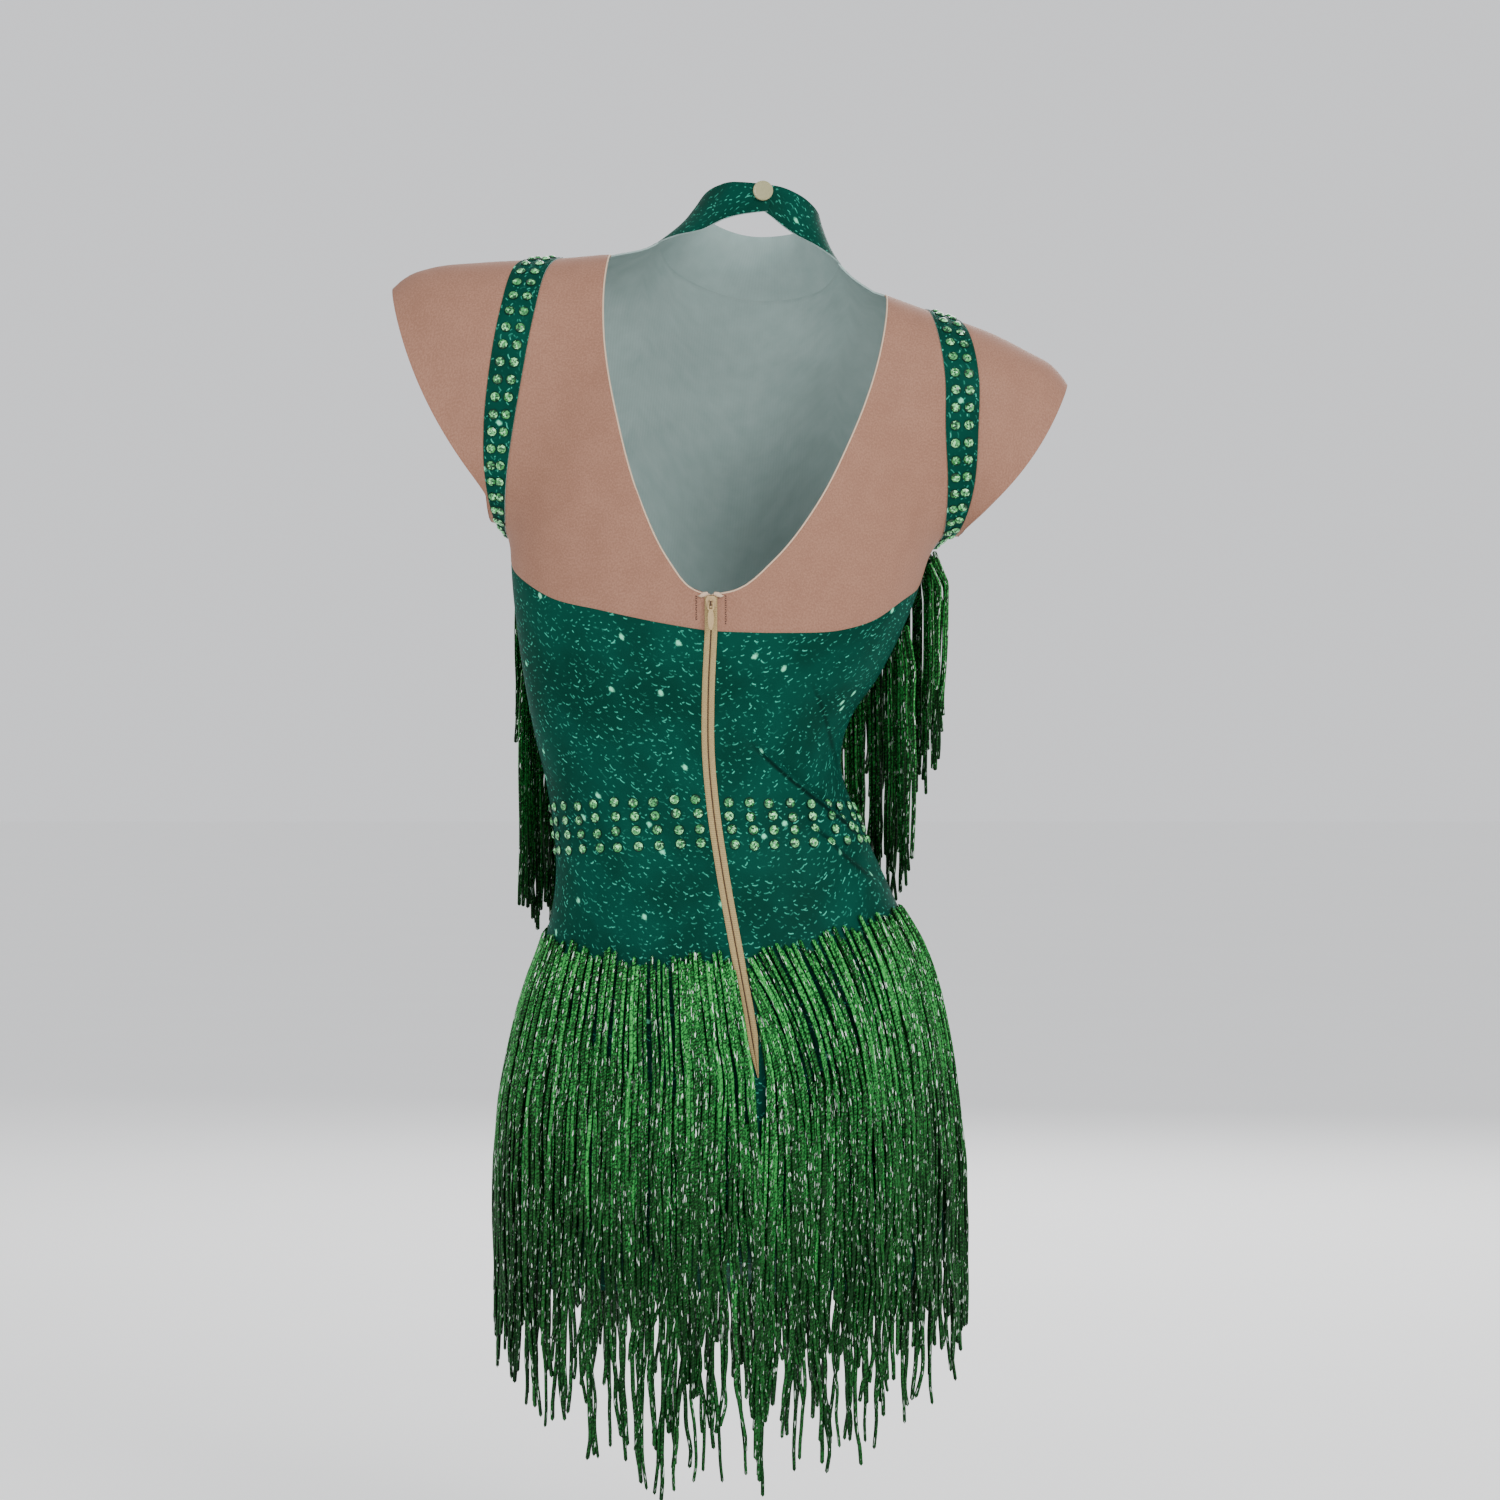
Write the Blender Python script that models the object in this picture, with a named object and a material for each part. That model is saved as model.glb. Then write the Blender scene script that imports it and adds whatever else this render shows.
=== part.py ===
"""Fringe dance leotard, in the form that it has when it is worn.

Every cloth piece is laid on one smooth general figure: a trunk given by stations, two shoulder cones,
a neck and two thighs, blended together. Seam lines are short tables of waypoints that are drawn on to
that figure. A panel is the grid between its seam lines, and its wall is grown outwards from that grid.
The tables are in millimetres and the scene in metres. +Z is up, +Y is the garment's back and +X is the
wearer's left. The origin lies between the tops of the shoulders, where the wearer holds the garment.
"""

import math

import bmesh
import bpy
import numpy as np

MM = 0.001
WALL = 1.2
SEAM_GAP = 0.4
LAY_GAP = 0.4

# Colours as linear RGB, roughness and metallic share of each finish.
FINISHES = {
    "green_cloth": ((0.004, 0.085, 0.052, 1.0), 0.62, 0.0),
    "nude_mesh": ((0.42, 0.24, 0.18, 1.0), 0.70, 0.0),
    "green_fringe": ((0.012, 0.19, 0.035, 1.0), 0.45, 0.0),
    "zip_cloth": ((0.52, 0.38, 0.24, 1.0), 0.60, 0.0),
    "zip_metal": ((0.62, 0.52, 0.36, 1.0), 0.35, 0.6),
    "snap_cap": ((0.55, 0.52, 0.38, 1.0), 0.40, 0.0),
}

# The trunk: a superellipse at each level, its level line tilted by the roll of the pose.
TRUNK_COLUMNS = ("level", "centre_x", "half_width", "back", "front", "roll_deg")
TRUNK = (
    (-720, 4, 136, 96, 80, 0.0),
    (-640, 4, 143, 104, 84, 0.0),
    (-578, 4, 146, 108, 90, -1.0),
    (-538, 5, 144, 106, 95, -2.0),
    (-498, 5, 138, 100, 98, -4.0),
    (-459, 7, 129, 90, 98, -6.5),
    (-419, 11, 115, 79, 95, -8.5),
    (-373, 17, 101, 70, 92, -8.5),
    (-324, 27, 96, 68, 92, -5.0),
    (-290, 29, 103, 72, 95, -1.0),
    (-248, 23, 118, 80, 104, 4.0),
    (-214, 18, 128, 86, 114, 6.0),
    (-181, 13, 135, 90, 118, 7.0),
    (-142, 8, 139, 92, 112, 8.0),
    (-96, 3, 132, 90, 98, 8.4),
    (-40, -4, 112, 80, 80, 8.4),
    (40, -10, 100, 70, 70, 8.4),
)
TRUNK_POWER = 2.35
TRUNK_TOP = -8
TRUNK_BOTTOM = -643
TOP_ROUND = 70
BOTTOM_ROUND = 60

# Each shoulder is a cone from beside the neck to the slanting mouth of its cap sleeve.
SHOULDER_COLUMNS = ("root_x", "root_z", "mouth_x", "mouth_z")
SHOULDERS = {"left": (42, -5, 190, -78), "right": (-48, -17, -184, -116)}
SHOULDER_SECTION_COLUMNS = ("from_mouth", "half_height", "half_depth")
SHOULDER_SECTIONS = {
    "left": (
        (-14, 77, 50), (2, 82, 52), (14, 85, 54), (30, 83, 57), (60, 72, 58), (95, 57, 53), (140, 38, 42),
    ),
    "right": (
        (-14, 52, 47), (2, 60, 49), (16, 64, 52), (35, 62, 55), (60, 58, 55), (95, 48, 50), (140, 34, 40),
    ),
}
SHOULDER_POWER = 2.1
SHOULDER_END = 26
SHOULDER_END_ROUND = 10

# The neck leans with the shoulders; the thighs carry the short legs.
NECK_COLUMNS = ("height", "centre_x", "centre_y", "half_width", "half_depth")
NECK = (
    (-20, -6, -2, 60, 48), (14, -7, -2, 56, 46), (30, -8, -2, 51, 44),
    (44, -12, -3, 43, 41), (58, -16, -3, 37, 39), (100, -22, -6, 35, 37),
)
THIGH_COLUMNS = ("height", "centre_x", "radius")
THIGHS = {
    "left": ((-560, 64, 78), (-640, 58, 71.5), (-664, 57, 64), (-720, 56, 56)),
    "right": ((-560, -74, 62), (-640, -73.5, 60.5), (-664, -76.5, 57.5), (-720, -78, 52)),
}
THIGH_TOP = -575
BLEND_SHOULDER = 30
BLEND_NECK = 30
BLEND_THIGH = 22
BLEND_BETWEEN_THIGHS = 8

# Seam lines, drawn on to the figure. Columns: x across, y rough depth, z height.
SEAM_COLUMNS = ("x", "y", "z")
SEAMS = {
    "armhole_back_left": (
        (123, 0, 17), (132, 20, 8), (141, 42, -25), (148, 52, -64), (153, 52, -100),
        (155, 40, -126), (154, 20, -146), (150, 0, -162),
    ),
    "armhole_back_right": (
        (-134, 0, -22), (-141, 22, -35), (-147, 44, -67), (-147, 52, -100), (-147, 44, -133),
        (-144, 28, -155), (-140, 14, -167), (-135, 0, -172),
    ),
    "armhole_front_left": (
        (123, 0, 17), (127, -24, 0), (130, -46, -42), (134, -52, -82),
        (140, -42, -116), (145, -22, -144), (150, 0, -162),
    ),
    "armhole_front_right": (
        (-134, 0, -22), (-134, -26, -42), (-130, -48, -76), (-130, -52, -110),
        (-132, -40, -142), (-134, -20, -162), (-135, 0, -172),
    ),
    "neck_edge_left": (
        (82, 4, 19), (85, 44, -15), (84, 62, -42), (76, 80, -90),
        (60, 88, -148), (42, 88, -186), (26, 88, -205), (15, 88, -208),
    ),
    "neck_edge_right": (
        (-98, 4, -10), (-98, 26, -26), (-90, 58, -65), (-74, 80, -108),
        (-54, 88, -148), (-25, 88, -186), (-1, 88, -205), (15, 88, -208),
    ),
    "zip_top": ((15, 88, -208), (15, 88, -231)),
    "yoke_foot_left": (
        (15, 88, -231), (45, 84, -226), (86, 68, -217), (116, 48, -209), (140, 20, -191), (149, 0, -179),
    ),
    "yoke_foot_right": (
        (15, 88, -231), (-29, 88, -232), (-68, 76, -230), (-88, 62, -224), (-109, 36, -209), (-123, 0, -197),
    ),
    "side_left": (
        (149, 0, -179), (142, 0, -240), (130, 0, -290), (124, 0, -330), (124, 0, -380),
        (134, 0, -440), (147, 0, -520), (149, 0, -590), (140, 0, -630), (126, 0, -656),
    ),
    "side_right": (
        (-123, 0, -197), (-102, 0, -240), (-78, 0, -290), (-70, 0, -330), (-84, 0, -380),
        (-116, 0, -440), (-136, 0, -520), (-142, 0, -590), (-142, 0, -630), (-134, 0, -656),
    ),
    "zip_back": (
        (15, 88, -231), (17, 77, -275), (17, 72, -307), (14, 69, -343), (8, 72, -384),
        (-2, 88, -439), (-9, 97, -477), (-15, 104, -515),
    ),
    "seat_seam": ((-15, 104, -515), (-16, 108, -570), (-15, 80, -628), (-14, 40, -646), (-13, 0, -648)),
    "inseam_left": ((-13, 0, -648), (-11, 0, -655), (-8, 0, -664)),
    "inseam_right": ((-13, 0, -648), (-16, 0, -655), (-19, 0, -664)),
    "hem_back_left": ((-8, 0, -664), (10, 48, -658), (57, 68, -655), (104, 46, -655), (126, 0, -656)),
    "hem_back_right": ((-19, 0, -664), (-38, 46, -658), (-76, 62, -655), (-118, 40, -655), (-134, 0, -656)),
    "hem_front_left": ((126, 0, -656), (104, -46, -652), (57, -68, -648), (10, -48, -654), (-8, 0, -664)),
    "hem_front_right": (
        (-134, 0, -656), (-118, -40, -652), (-76, -62, -648), (-38, -46, -654), (-19, 0, -664),
    ),
    "neck_front": ((50, 4, 27), (40, -28, 13), (-10, -52, -4), (-56, -32, 0), (-69, 4, 14)),
    "corner_left": ((82, 4, 19), (66, 4, 23), (50, 4, 27)),
    "corner_right": ((-69, 4, 14), (-84, 4, 3), (-98, 4, -10)),
    "collar_foot_left": ((-21, 47, 43), (-3, 46, 40), (22, 38, 32), (38, 22, 30), (50, 4, 27)),
    "collar_foot_right": ((-69, 4, 14), (-53, 26, 23), (-36, 40, 31), (-20, 47, 43), (-11, 47, 49)),
    "collar_top": (
        (-25, 40, 60), (-7, 40, 62), (7, 36, 63), (17, 26, 61), (22, 6, 57), (18, -22, 47), (-10, -42, 38),
        (-42, -32, 39), (-55, -6, 44), (-52, 20, 50), (-42, 34, 56), (-30, 39, 60), (-8, 41, 61),
    ),
}

# How finely each kind of seam is divided. Seams that meet along a panel share their division.
STEPS = {
    "armhole": 10, "neck_edge": 9, "zip_top": 2, "underarm": 1, "shoulder": 3, "yoke_foot": 8,
    "side": 16, "zip_back": 10, "seat_seam": 5, "inseam": 1, "hem": 8, "corner": 1, "neck_front": 10,
    "collar_foot": 6, "collar_top": 22,
}
RELAX_ROUNDS = 12
SLEEVE_ROWS = 3
BAND_ROWS = 2
COLLAR_ROWS = 2

# The green bands over the armholes. They narrow under the arm. The sleeve mouths bow outwards.
BAND_HALF_WIDTH = 11
BAND_UNDERARM = 5
BAND_WALL = 1.5
MOUTH_BOW = {"left": 12, "right": 10}
MOUTH_HEM = 2

# The snap on the collar's lapped end.
LAP_COLUMNS = 2
LAP_LIFT = 2.3
SNAP_PLACE = (-18, 56)
SNAP_RADIUS = 6.6
SNAP_THICK = 2.4
SNAP_EDGE = 0.8

# The zip: a narrow tape that ends in a point. The slider's rows run down it from its top, and the
# pull's from its hinge axis. Both are plates with a middle column as wide as the core.
TAPE_HALF_WIDTH = 4
TAPE_POINT = 30
TAPE_WALL = 0.8
PLATE_COLUMNS = ("down", "half_width")
SLIDER_DOWN = 4.6
SLIDER_PLATE = ((-4.5, 2.2), (-2.7, 3.2), (-1.7, 3.2), (1.7, 3.0), (2.7, 2.7), (4.5, 1.9))
SLIDER_CORE = 0.6
SLIDER_THICK = 2.0
STAPLE_CLEAR = 3.7
STAPLE_TOP = 4.6
PULL_PLATE = (
    (-0.5, 1.9), (0.55, 2.0), (3.7, 2.0), (5.0, 1.5), (8.5, 1.7), (12.5, 2.3), (15.5, 2.1), (17.0, 1.3),
)
PULL_CORE = 1.0
PULL_AXIS = 2.9
PULL_THICK = 1.0

# Soft folds at the waist on the wearer's right, where the trunk leans. They lift the cloth.
FOLD_COLUMNS = ("start_x", "start_z", "end_x", "end_z", "height", "half_width")
FOLDS = (
    (-8, -306, -84, -366, 3.6, 12),
    (-42, -360, -90, -390, 2.6, 11),
    (-46, -262, -68, -322, -1.8, 12),
)

# Fringe trims. Root rows: x across, y rough depth, z height, from the centre back over the
# wearer's left and round the front, or along the front alone. Lift is off the figure, at the root
# and further down. Rings are places down a strand, as shares of its length.
TRIM_HEIGHT = 6
TRIM_LIFT = 2.0
TRIM_WALL = 1.4
STRAND_HALF_THICK = 0.9
STRAND_TIP = 0.55
SWAY = 2.2
TRIMS = {
    "hip_fringe_upper": {
        "root": (
            (6, 88, -448), (28, 86, -448), (53, 84, -449), (78, 74, -445), (123, 26, -438), (124, -30, -434),
            (70, -86, -444), (0, -98, -450), (-70, -82, -438), (-110, -34, -422), (-113, 10, -420),
            (-87, 58, -424), (-52, 82, -436), (-29, 87, -442), (-11, 88, -447),
        ),
        "locks": 60, "width": 4.8, "length": 224, "uneven": 10,
        "lift": (3.2, 8.6), "rings": (0.08, 0.26, 0.50, 0.76, 1.0),
    },
    "hip_fringe_lower": {
        "root": (
            (-14, 106, -552), (30, 104, -536), (84, 84, -502), (136, 24, -462), (138, -30, -460),
            (80, -86, -492), (0, -96, -520), (-80, -82, -490), (-126, -30, -450), (-128, 24, -452),
            (-90, 72, -492), (-50, 98, -526), (-18, 106, -550),
        ),
        "locks": 42, "width": 4.8, "length": 218, "uneven": 12,
        "lift": (3.4, 4.3), "rings": (0.14, 0.33, 0.58, 1.0),
    },
    "chest_fringe_upper": {
        "root": (
            (140, -46, -170), (112, -76, -175), (60, -102, -178), (8, -112, -180),
            (-50, -102, -184), (-98, -72, -186), (-124, -38, -187), (-131, -10, -187),
        ),
        "locks": 30, "width": 4.8, "length": 138, "uneven": 14,
        "lift": (3.2, 7.4), "rings": (0.16, 0.45, 1.0),
    },
    "chest_fringe_lower": {
        "root": (
            (134, -14, -262), (112, -56, -266), (60, -92, -270), (12, -99, -271),
            (-40, -93, -266), (-80, -64, -250), (-98, -34, -238), (-106, -12, -230),
        ),
        "locks": 28, "width": 4.8, "length": 156, "uneven": 12,
        "lift": (3.2, 3.6), "rings": (0.24, 0.58, 1.0),
    },
}
ZIP_LEAN_REACH = 34
RISE = 18
MARCH = 4.0


def clear_scene():
    """Removes the objects that the scene starts with."""
    for old in list(bpy.data.objects):
        bpy.data.objects.remove(old)


def knots_of(rows):
    """A table made ready for table_at: its first column, its other columns and their slopes."""
    table = np.array(sorted(rows), float)
    return table[:, 0], table[:, 1:], np.gradient(table[:, 1:], table[:, 0], axis=0)


def table_at(knots_and_values, place):
    """The other columns of a table at each place in its first column, smoothly joined."""
    knots, values, slopes = knots_and_values
    place = np.clip(place, knots[0], knots[-1])
    index = np.clip(np.searchsorted(knots, place) - 1, 0, len(knots) - 2)
    span = (knots[index + 1] - knots[index])[:, None]
    t = (place - knots[index])[:, None] / span
    return (
        values[index] * (2 * t**3 - 3 * t**2 + 1)
        + slopes[index] * span * (t**3 - 2 * t**2 + t)
        + values[index + 1] * (3 * t**2 - 2 * t**3)
        + slopes[index + 1] * span * (t**3 - t**2)
    ).T


TRUNK_KNOTS = knots_of(TRUNK)
SHOULDER_KNOTS = {side: knots_of(rows) for side, rows in SHOULDER_SECTIONS.items()}
NECK_KNOTS = knots_of(NECK)
THIGH_KNOTS = {side: knots_of(rows) for side, rows in THIGHS.items()}


def smooth_min(a, b, width):
    """The lesser of two gaps, with a fillet of this width where they meet."""
    near = np.maximum(width - np.abs(a - b), 0) / width
    return np.minimum(a, b) - near * near * width / 4


def smooth_max(a, b, width):
    return -smooth_min(-a, -b, width)


def section_gap(across, deep, half_across, half_deep, power=2.0):
    """How far a point lies outside a superellipse, measured along the ray from its middle."""
    reach = np.maximum(np.hypot(across, deep), 1e-6)
    share = (np.abs(across / half_across) ** power + np.abs(deep / half_deep) ** power) ** (1 / power)
    return reach - reach / np.maximum(share, 1e-6)


def trunk_gap(p):
    level = p[:, 2]
    for _ in range(3):
        centre, half, back, front, roll = table_at(TRUNK_KNOTS, level)
        tilt = np.radians(roll)
        level = p[:, 2] - (p[:, 0] - centre) * np.tan(tilt)
    deep = p[:, 1]
    across = (p[:, 0] - centre) / np.cos(tilt)
    side = section_gap(across, deep, half, np.where(deep > 0, back, front), TRUNK_POWER)
    capped = smooth_max(side, level - TRUNK_TOP, TOP_ROUND)
    return smooth_max(capped, TRUNK_BOTTOM - level, BOTTOM_ROUND)


def shoulder_axes(side):
    """The mouth's middle, the way out along the cone, the way up across it, and its length."""
    root_x, root_z, mouth_x, mouth_z = SHOULDERS[side]
    along = np.array([mouth_x - root_x, 0.0, mouth_z - root_z])
    length = np.linalg.norm(along)
    out = along / length
    up = np.array([-out[2], 0.0, out[0]])
    return np.array([mouth_x, 0.0, mouth_z]), out, up * np.sign(up[2]), length


def shoulder_gap(p, side):
    mouth, out, up, length = shoulder_axes(side)
    past = (p - mouth) @ out
    half_height, half_depth = table_at(SHOULDER_KNOTS[side], -past)
    cone = section_gap((p - mouth) @ up, p[:, 1], half_height, half_depth, SHOULDER_POWER)
    ended = smooth_max(cone, past - SHOULDER_END, SHOULDER_END_ROUND)
    return smooth_max(ended, -past - length, TOP_ROUND / 2)


def neck_gap(p):
    centre_x, centre_y, half_width, half_depth = table_at(NECK_KNOTS, p[:, 2])
    side = section_gap(p[:, 0] - centre_x, p[:, 1] - centre_y, half_width, half_depth)
    return smooth_max(side, NECK[0][0] - 20 - p[:, 2], 20)


def thigh_gap(p, side):
    centre_x, radius = table_at(THIGH_KNOTS[side], p[:, 2])
    return smooth_max(np.hypot(p[:, 0] - centre_x, p[:, 1]) - radius, p[:, 2] - THIGH_TOP, 30)


def figure_gap(p):
    """How far each point lies outside the general figure, negative inside it."""
    gap = trunk_gap(p)
    for side in SHOULDERS:
        gap = smooth_min(gap, shoulder_gap(p, side), BLEND_SHOULDER)
    gap = smooth_min(gap, neck_gap(p), BLEND_NECK)
    legs = smooth_min(thigh_gap(p, "left"), thigh_gap(p, "right"), BLEND_BETWEEN_THIGHS)
    return smooth_min(gap, legs, BLEND_THIGH)


PROBE = 0.5 * np.array([[1, -1, -1], [-1, -1, 1], [-1, 1, -1], [1, 1, 1]], float)


def figure_slope(p):
    """The gradient of the gap, from four probes round each point."""
    probes = (p[None] + PROBE[:, None]).reshape(-1, 3)
    gaps = figure_gap(probes).reshape(4, -1)
    return np.einsum("kn,kc->nc", gaps, PROBE)


def outward(p):
    """Unit normals of the figure at these points, of any array shape."""
    flat = figure_slope(p.reshape(-1, 3))
    flat /= np.linalg.norm(flat, axis=1)[:, None]
    return flat.reshape(p.shape)


def on_figure(points, freedom=(1, 1, 1)):
    """The points moved on to the figure. freedom weighs how readily each axis moves."""
    shape = np.shape(points)
    p = np.array(points, float).reshape(-1, 3)
    for _ in range(14):
        gap = figure_gap(p)
        if np.abs(gap).max() < 0.004:
            break
        slope = figure_slope(p)
        pull = slope * np.array(freedom, float)
        move = -gap[:, None] * pull / np.maximum((pull * slope).sum(1), 0.02)[:, None]
        size = np.linalg.norm(move, axis=1)[:, None]
        p += move * np.minimum(1, 12 / np.maximum(size, 1e-9))
    return p.reshape(shape)


def drawn(rows, steps):
    """steps + 1 points evenly along a smooth curve through the rows."""
    rows = np.array(rows, float)
    chord = np.r_[0, np.cumsum(np.linalg.norm(np.diff(rows, axis=0), axis=1))]
    curve = table_at(knots_of(np.column_stack([chord, rows]).tolist()), np.linspace(0, chord[-1], 400)).T
    return evenly(curve, np.linspace(0, 1, steps + 1))


def evenly(curve, shares):
    """The points at these shares of a curve's length."""
    run = np.r_[0, np.cumsum(np.linalg.norm(np.diff(curve, axis=0), axis=1))]
    return np.column_stack([np.interp(shares * run[-1], run, curve[:, axis]) for axis in range(3)])


def seam(rows, steps):
    """A seam line through these rows, on the figure. Its depth moves most freely."""
    points = on_figure(drawn(rows, 4 * steps), freedom=(0.08, 1, 0.08))
    return on_figure(evenly(points, np.linspace(0, 1, steps + 1)))


def joined(*lines):
    """Lines that follow each other, as one."""
    return np.vstack([lines[0]] + [line[1:] for line in lines[1:]])


def fold_lift(p):
    """How far the waist folds lift the back cloth at these points."""
    lift = np.zeros(p.shape[:-1])
    for start_x, start_z, end_x, end_z, height, half_width in FOLDS:
        along = np.array([end_x - start_x, end_z - start_z], float)
        length = np.linalg.norm(along)
        along /= length
        offset = p[..., [0, 2]] - np.array([start_x, start_z])
        run = (offset @ along) / length
        away = (offset @ np.array([-along[1], along[0]])) / half_width
        lift += height * np.exp(-away**2) * np.clip(4 * run * (1 - run), 0, 1) ** 0.7
    return np.where(p[..., 1] > 0, lift, 0)


def panel_grid(first, last, top, foot, bulge):
    """The grid between four seam lines. first and last run down it, top and foot run across it."""
    v = np.linspace(0, 1, len(first))[:, None, None]
    u = np.linspace(0, 1, len(foot))[None, :, None]
    ruled = (1 - u) * first[:, None] + u * last[:, None] + (1 - v) * top[None] + v * foot[None]
    corners = (
        (1 - u) * (1 - v) * first[0] + u * (1 - v) * last[0]
        + (1 - u) * v * first[-1] + u * v * last[-1]
    )
    swell = 4 * u * (1 - u) * np.minimum(1, 5 * np.minimum(v, 1 - v))
    grid = on_figure(ruled - corners + swell * np.array(bulge, float))
    grid[:, 0], grid[:, -1], grid[0], grid[-1] = first, last, top, foot
    for _ in range(RELAX_ROUNDS):
        mean = (grid[:-2, 1:-1] + grid[2:, 1:-1] + grid[1:-1, :-2] + grid[1:-1, 2:]) / 4
        grid[1:-1, 1:-1] = on_figure(mean)
    return grid


def drawn_in(grid, closed=False):
    """The grid with its edges half a seam gap inside its seam lines."""
    inset = grid.copy()
    for edge, inner in ((0, 1), (-1, -2)):
        way = grid[inner] - grid[edge]
        inset[edge] += way / np.linalg.norm(way, axis=1)[:, None] * SEAM_GAP / 2
        if not closed:
            way = grid[:, inner] - grid[:, edge]
            inset[:, edge] += way / np.linalg.norm(way, axis=1)[:, None] * SEAM_GAP / 2
    return inset


def finish_of(name):
    """The material of this finish, made when it is first asked for."""
    found = bpy.data.materials.get(name)
    if found:
        return found
    colour, roughness, metallic = FINISHES[name]
    made = bpy.data.materials.new(name)
    made.use_nodes = True
    shader = made.node_tree.nodes["Principled BSDF"]
    shader.inputs["Base Color"].default_value = colour
    shader.inputs["Roughness"].default_value = roughness
    shader.inputs["Metallic"].default_value = metallic
    return made


def keep(name, bm, finish):
    """Turns a bmesh in millimetres into a named object in metres."""
    bmesh.ops.scale(bm, vec=(MM, MM, MM), verts=bm.verts)
    bmesh.ops.recalc_face_normals(bm, faces=bm.faces)
    mesh = bpy.data.meshes.new(name)
    bm.to_mesh(mesh)
    bm.free()
    mesh.shade_smooth()
    mesh.set_sharp_from_angle(angle=math.radians(40))
    material = finish_of(finish).copy()
    material.name = name
    mesh.materials.append(material)
    made = bpy.data.objects.new(name, mesh)
    bpy.context.scene.collection.objects.link(made)
    return made


def wall(grid, lift, thick, closed=False):
    """A bmesh of the wall whose inner side is the grid lifted by lift, and whose depth is thick.

    Its vertices carry their row, their column and whether they are on the outer side.
    """
    rows, columns = grid.shape[0] - 1, grid.shape[1] - 1
    normals = outward(grid)
    inner = grid + normals * np.broadcast_to(lift, grid.shape[:2])[..., None]
    outer = inner + normals * thick
    bm = bmesh.new()
    bmesh.ops.create_grid(bm, x_segments=columns, y_segments=rows, size=1)
    row_of, column_of, outer_of = (bm.verts.layers.int.new(key) for key in ("row", "column", "outer"))
    for vert in bm.verts:
        vert[column_of] = round((vert.co.x + 1) / 2 * columns)
        vert[row_of] = round((vert.co.y + 1) / 2 * rows)
    grown = bmesh.ops.extrude_face_region(bm, geom=bm.faces[:])["geom"]
    for vert in (item for item in grown if isinstance(item, bmesh.types.BMVert)):
        vert[outer_of] = 1
    for vert in bm.verts:
        side = outer if vert[outer_of] else inner
        vert.co = side[vert[row_of], vert[column_of]]
    if closed:
        ends = [face for face in bm.faces if len({vert[column_of] for vert in face.verts}) == 1]
        bmesh.ops.delete(bm, geom=ends, context="FACES")
        bmesh.ops.remove_doubles(bm, verts=bm.verts, dist=0.001)
    return bm


def cloth(name, grid, finish, closed=False, thick=WALL, folded=False):
    """One cloth piece: its grid drawn in at the seams, walled and kept."""
    inset = drawn_in(grid, closed)
    keep(name, wall(inset, fold_lift(inset) if folded else 0.0, thick, closed), finish)


def armhole_rings(lines, side):
    """Three closed lines round an armhole: the band's edge on the body, its middle, its other edge.

    They run from the shoulder down the back and up the front.
    """
    middle = joined(lines["armhole_back_" + side], lines["armhole_front_" + side][::-1])
    open_ring = middle[:-1]
    ahead = np.roll(open_ring, -1, axis=0) - np.roll(open_ring, 1, axis=0)
    across = np.cross(ahead, outward(open_ring))
    across = across / np.linalg.norm(across, axis=1)[:, None]
    across = np.vstack([across, across[:1]]) * (1 if side == "left" else -1)
    share = (1 - np.cos(np.linspace(0, 2 * math.pi, len(middle)))) / 2
    half = (BAND_HALF_WIDTH + (BAND_UNDERARM - BAND_HALF_WIDTH) * share**4)[:, None]
    return on_figure(middle - half * across), middle, on_figure(middle + half * across)


def seam_lines():
    """Every seam line by name, with those that start at an armhole band's edge."""
    lines = {
        name: seam(rows, next(STEPS[kind] for kind in STEPS if name.startswith(kind)))
        for name, rows in SEAMS.items()
    }
    half_way = STEPS["armhole"]
    for side in SHOULDERS:
        body_edge = armhole_rings(lines, side)[0]
        lines["yoke_armhole_" + side] = body_edge[:half_way + 1]
        lines["front_armhole_" + side] = body_edge[half_way:][::-1]
        shoulder_ends = [lines["neck_edge_" + side][0], body_edge[0]]
        lines["shoulder_" + side] = seam(shoulder_ends, STEPS["shoulder"])
        lines["wide_shoulder_" + side] = seam(shoulder_ends, STEPS["yoke_foot"])
        lines["underarm_" + side] = seam([body_edge[half_way], lines["side_" + side][0]], STEPS["underarm"])
    return lines


def build_front(lines):
    """The green front in one piece, from collar and shoulders to the legs."""
    first, last = (
        joined(lines["front_armhole_" + side], lines["underarm_" + side], lines["side_" + side])
        for side in ("left", "right")
    )
    top = joined(
        lines["shoulder_left"][::-1], lines["corner_left"], lines["neck_front"],
        lines["corner_right"], lines["shoulder_right"],
    )
    foot = joined(
        lines["hem_front_left"], lines["inseam_left"][::-1],
        lines["inseam_right"], lines["hem_front_right"][::-1],
    )
    cloth("front_bodice", panel_grid(first, last, top, foot, bulge=(0, -104, 0)), "green_cloth")


def build_back(lines):
    """On each side, the green back from the yoke's foot to the leg, and the nude yoke above it."""
    for side, way in (("left", 1), ("right", -1)):
        middle = joined(lines["zip_back"], lines["seat_seam"], lines["inseam_" + side])
        grid = panel_grid(
            middle, lines["side_" + side], lines["yoke_foot_" + side], lines["hem_back_" + side],
            bulge=(26 * way, 26, 0),
        )
        cloth("back_bodice_" + side, grid, "green_cloth", folded=True)
        grid = panel_grid(
            joined(lines["neck_edge_" + side], lines["zip_top"]),
            joined(lines["yoke_armhole_" + side], lines["underarm_" + side]),
            lines["wide_shoulder_" + side], lines["yoke_foot_" + side], bulge=(6 * way, 14, 4),
        )
        cloth("back_yoke_" + side, grid, "nude_mesh")


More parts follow.
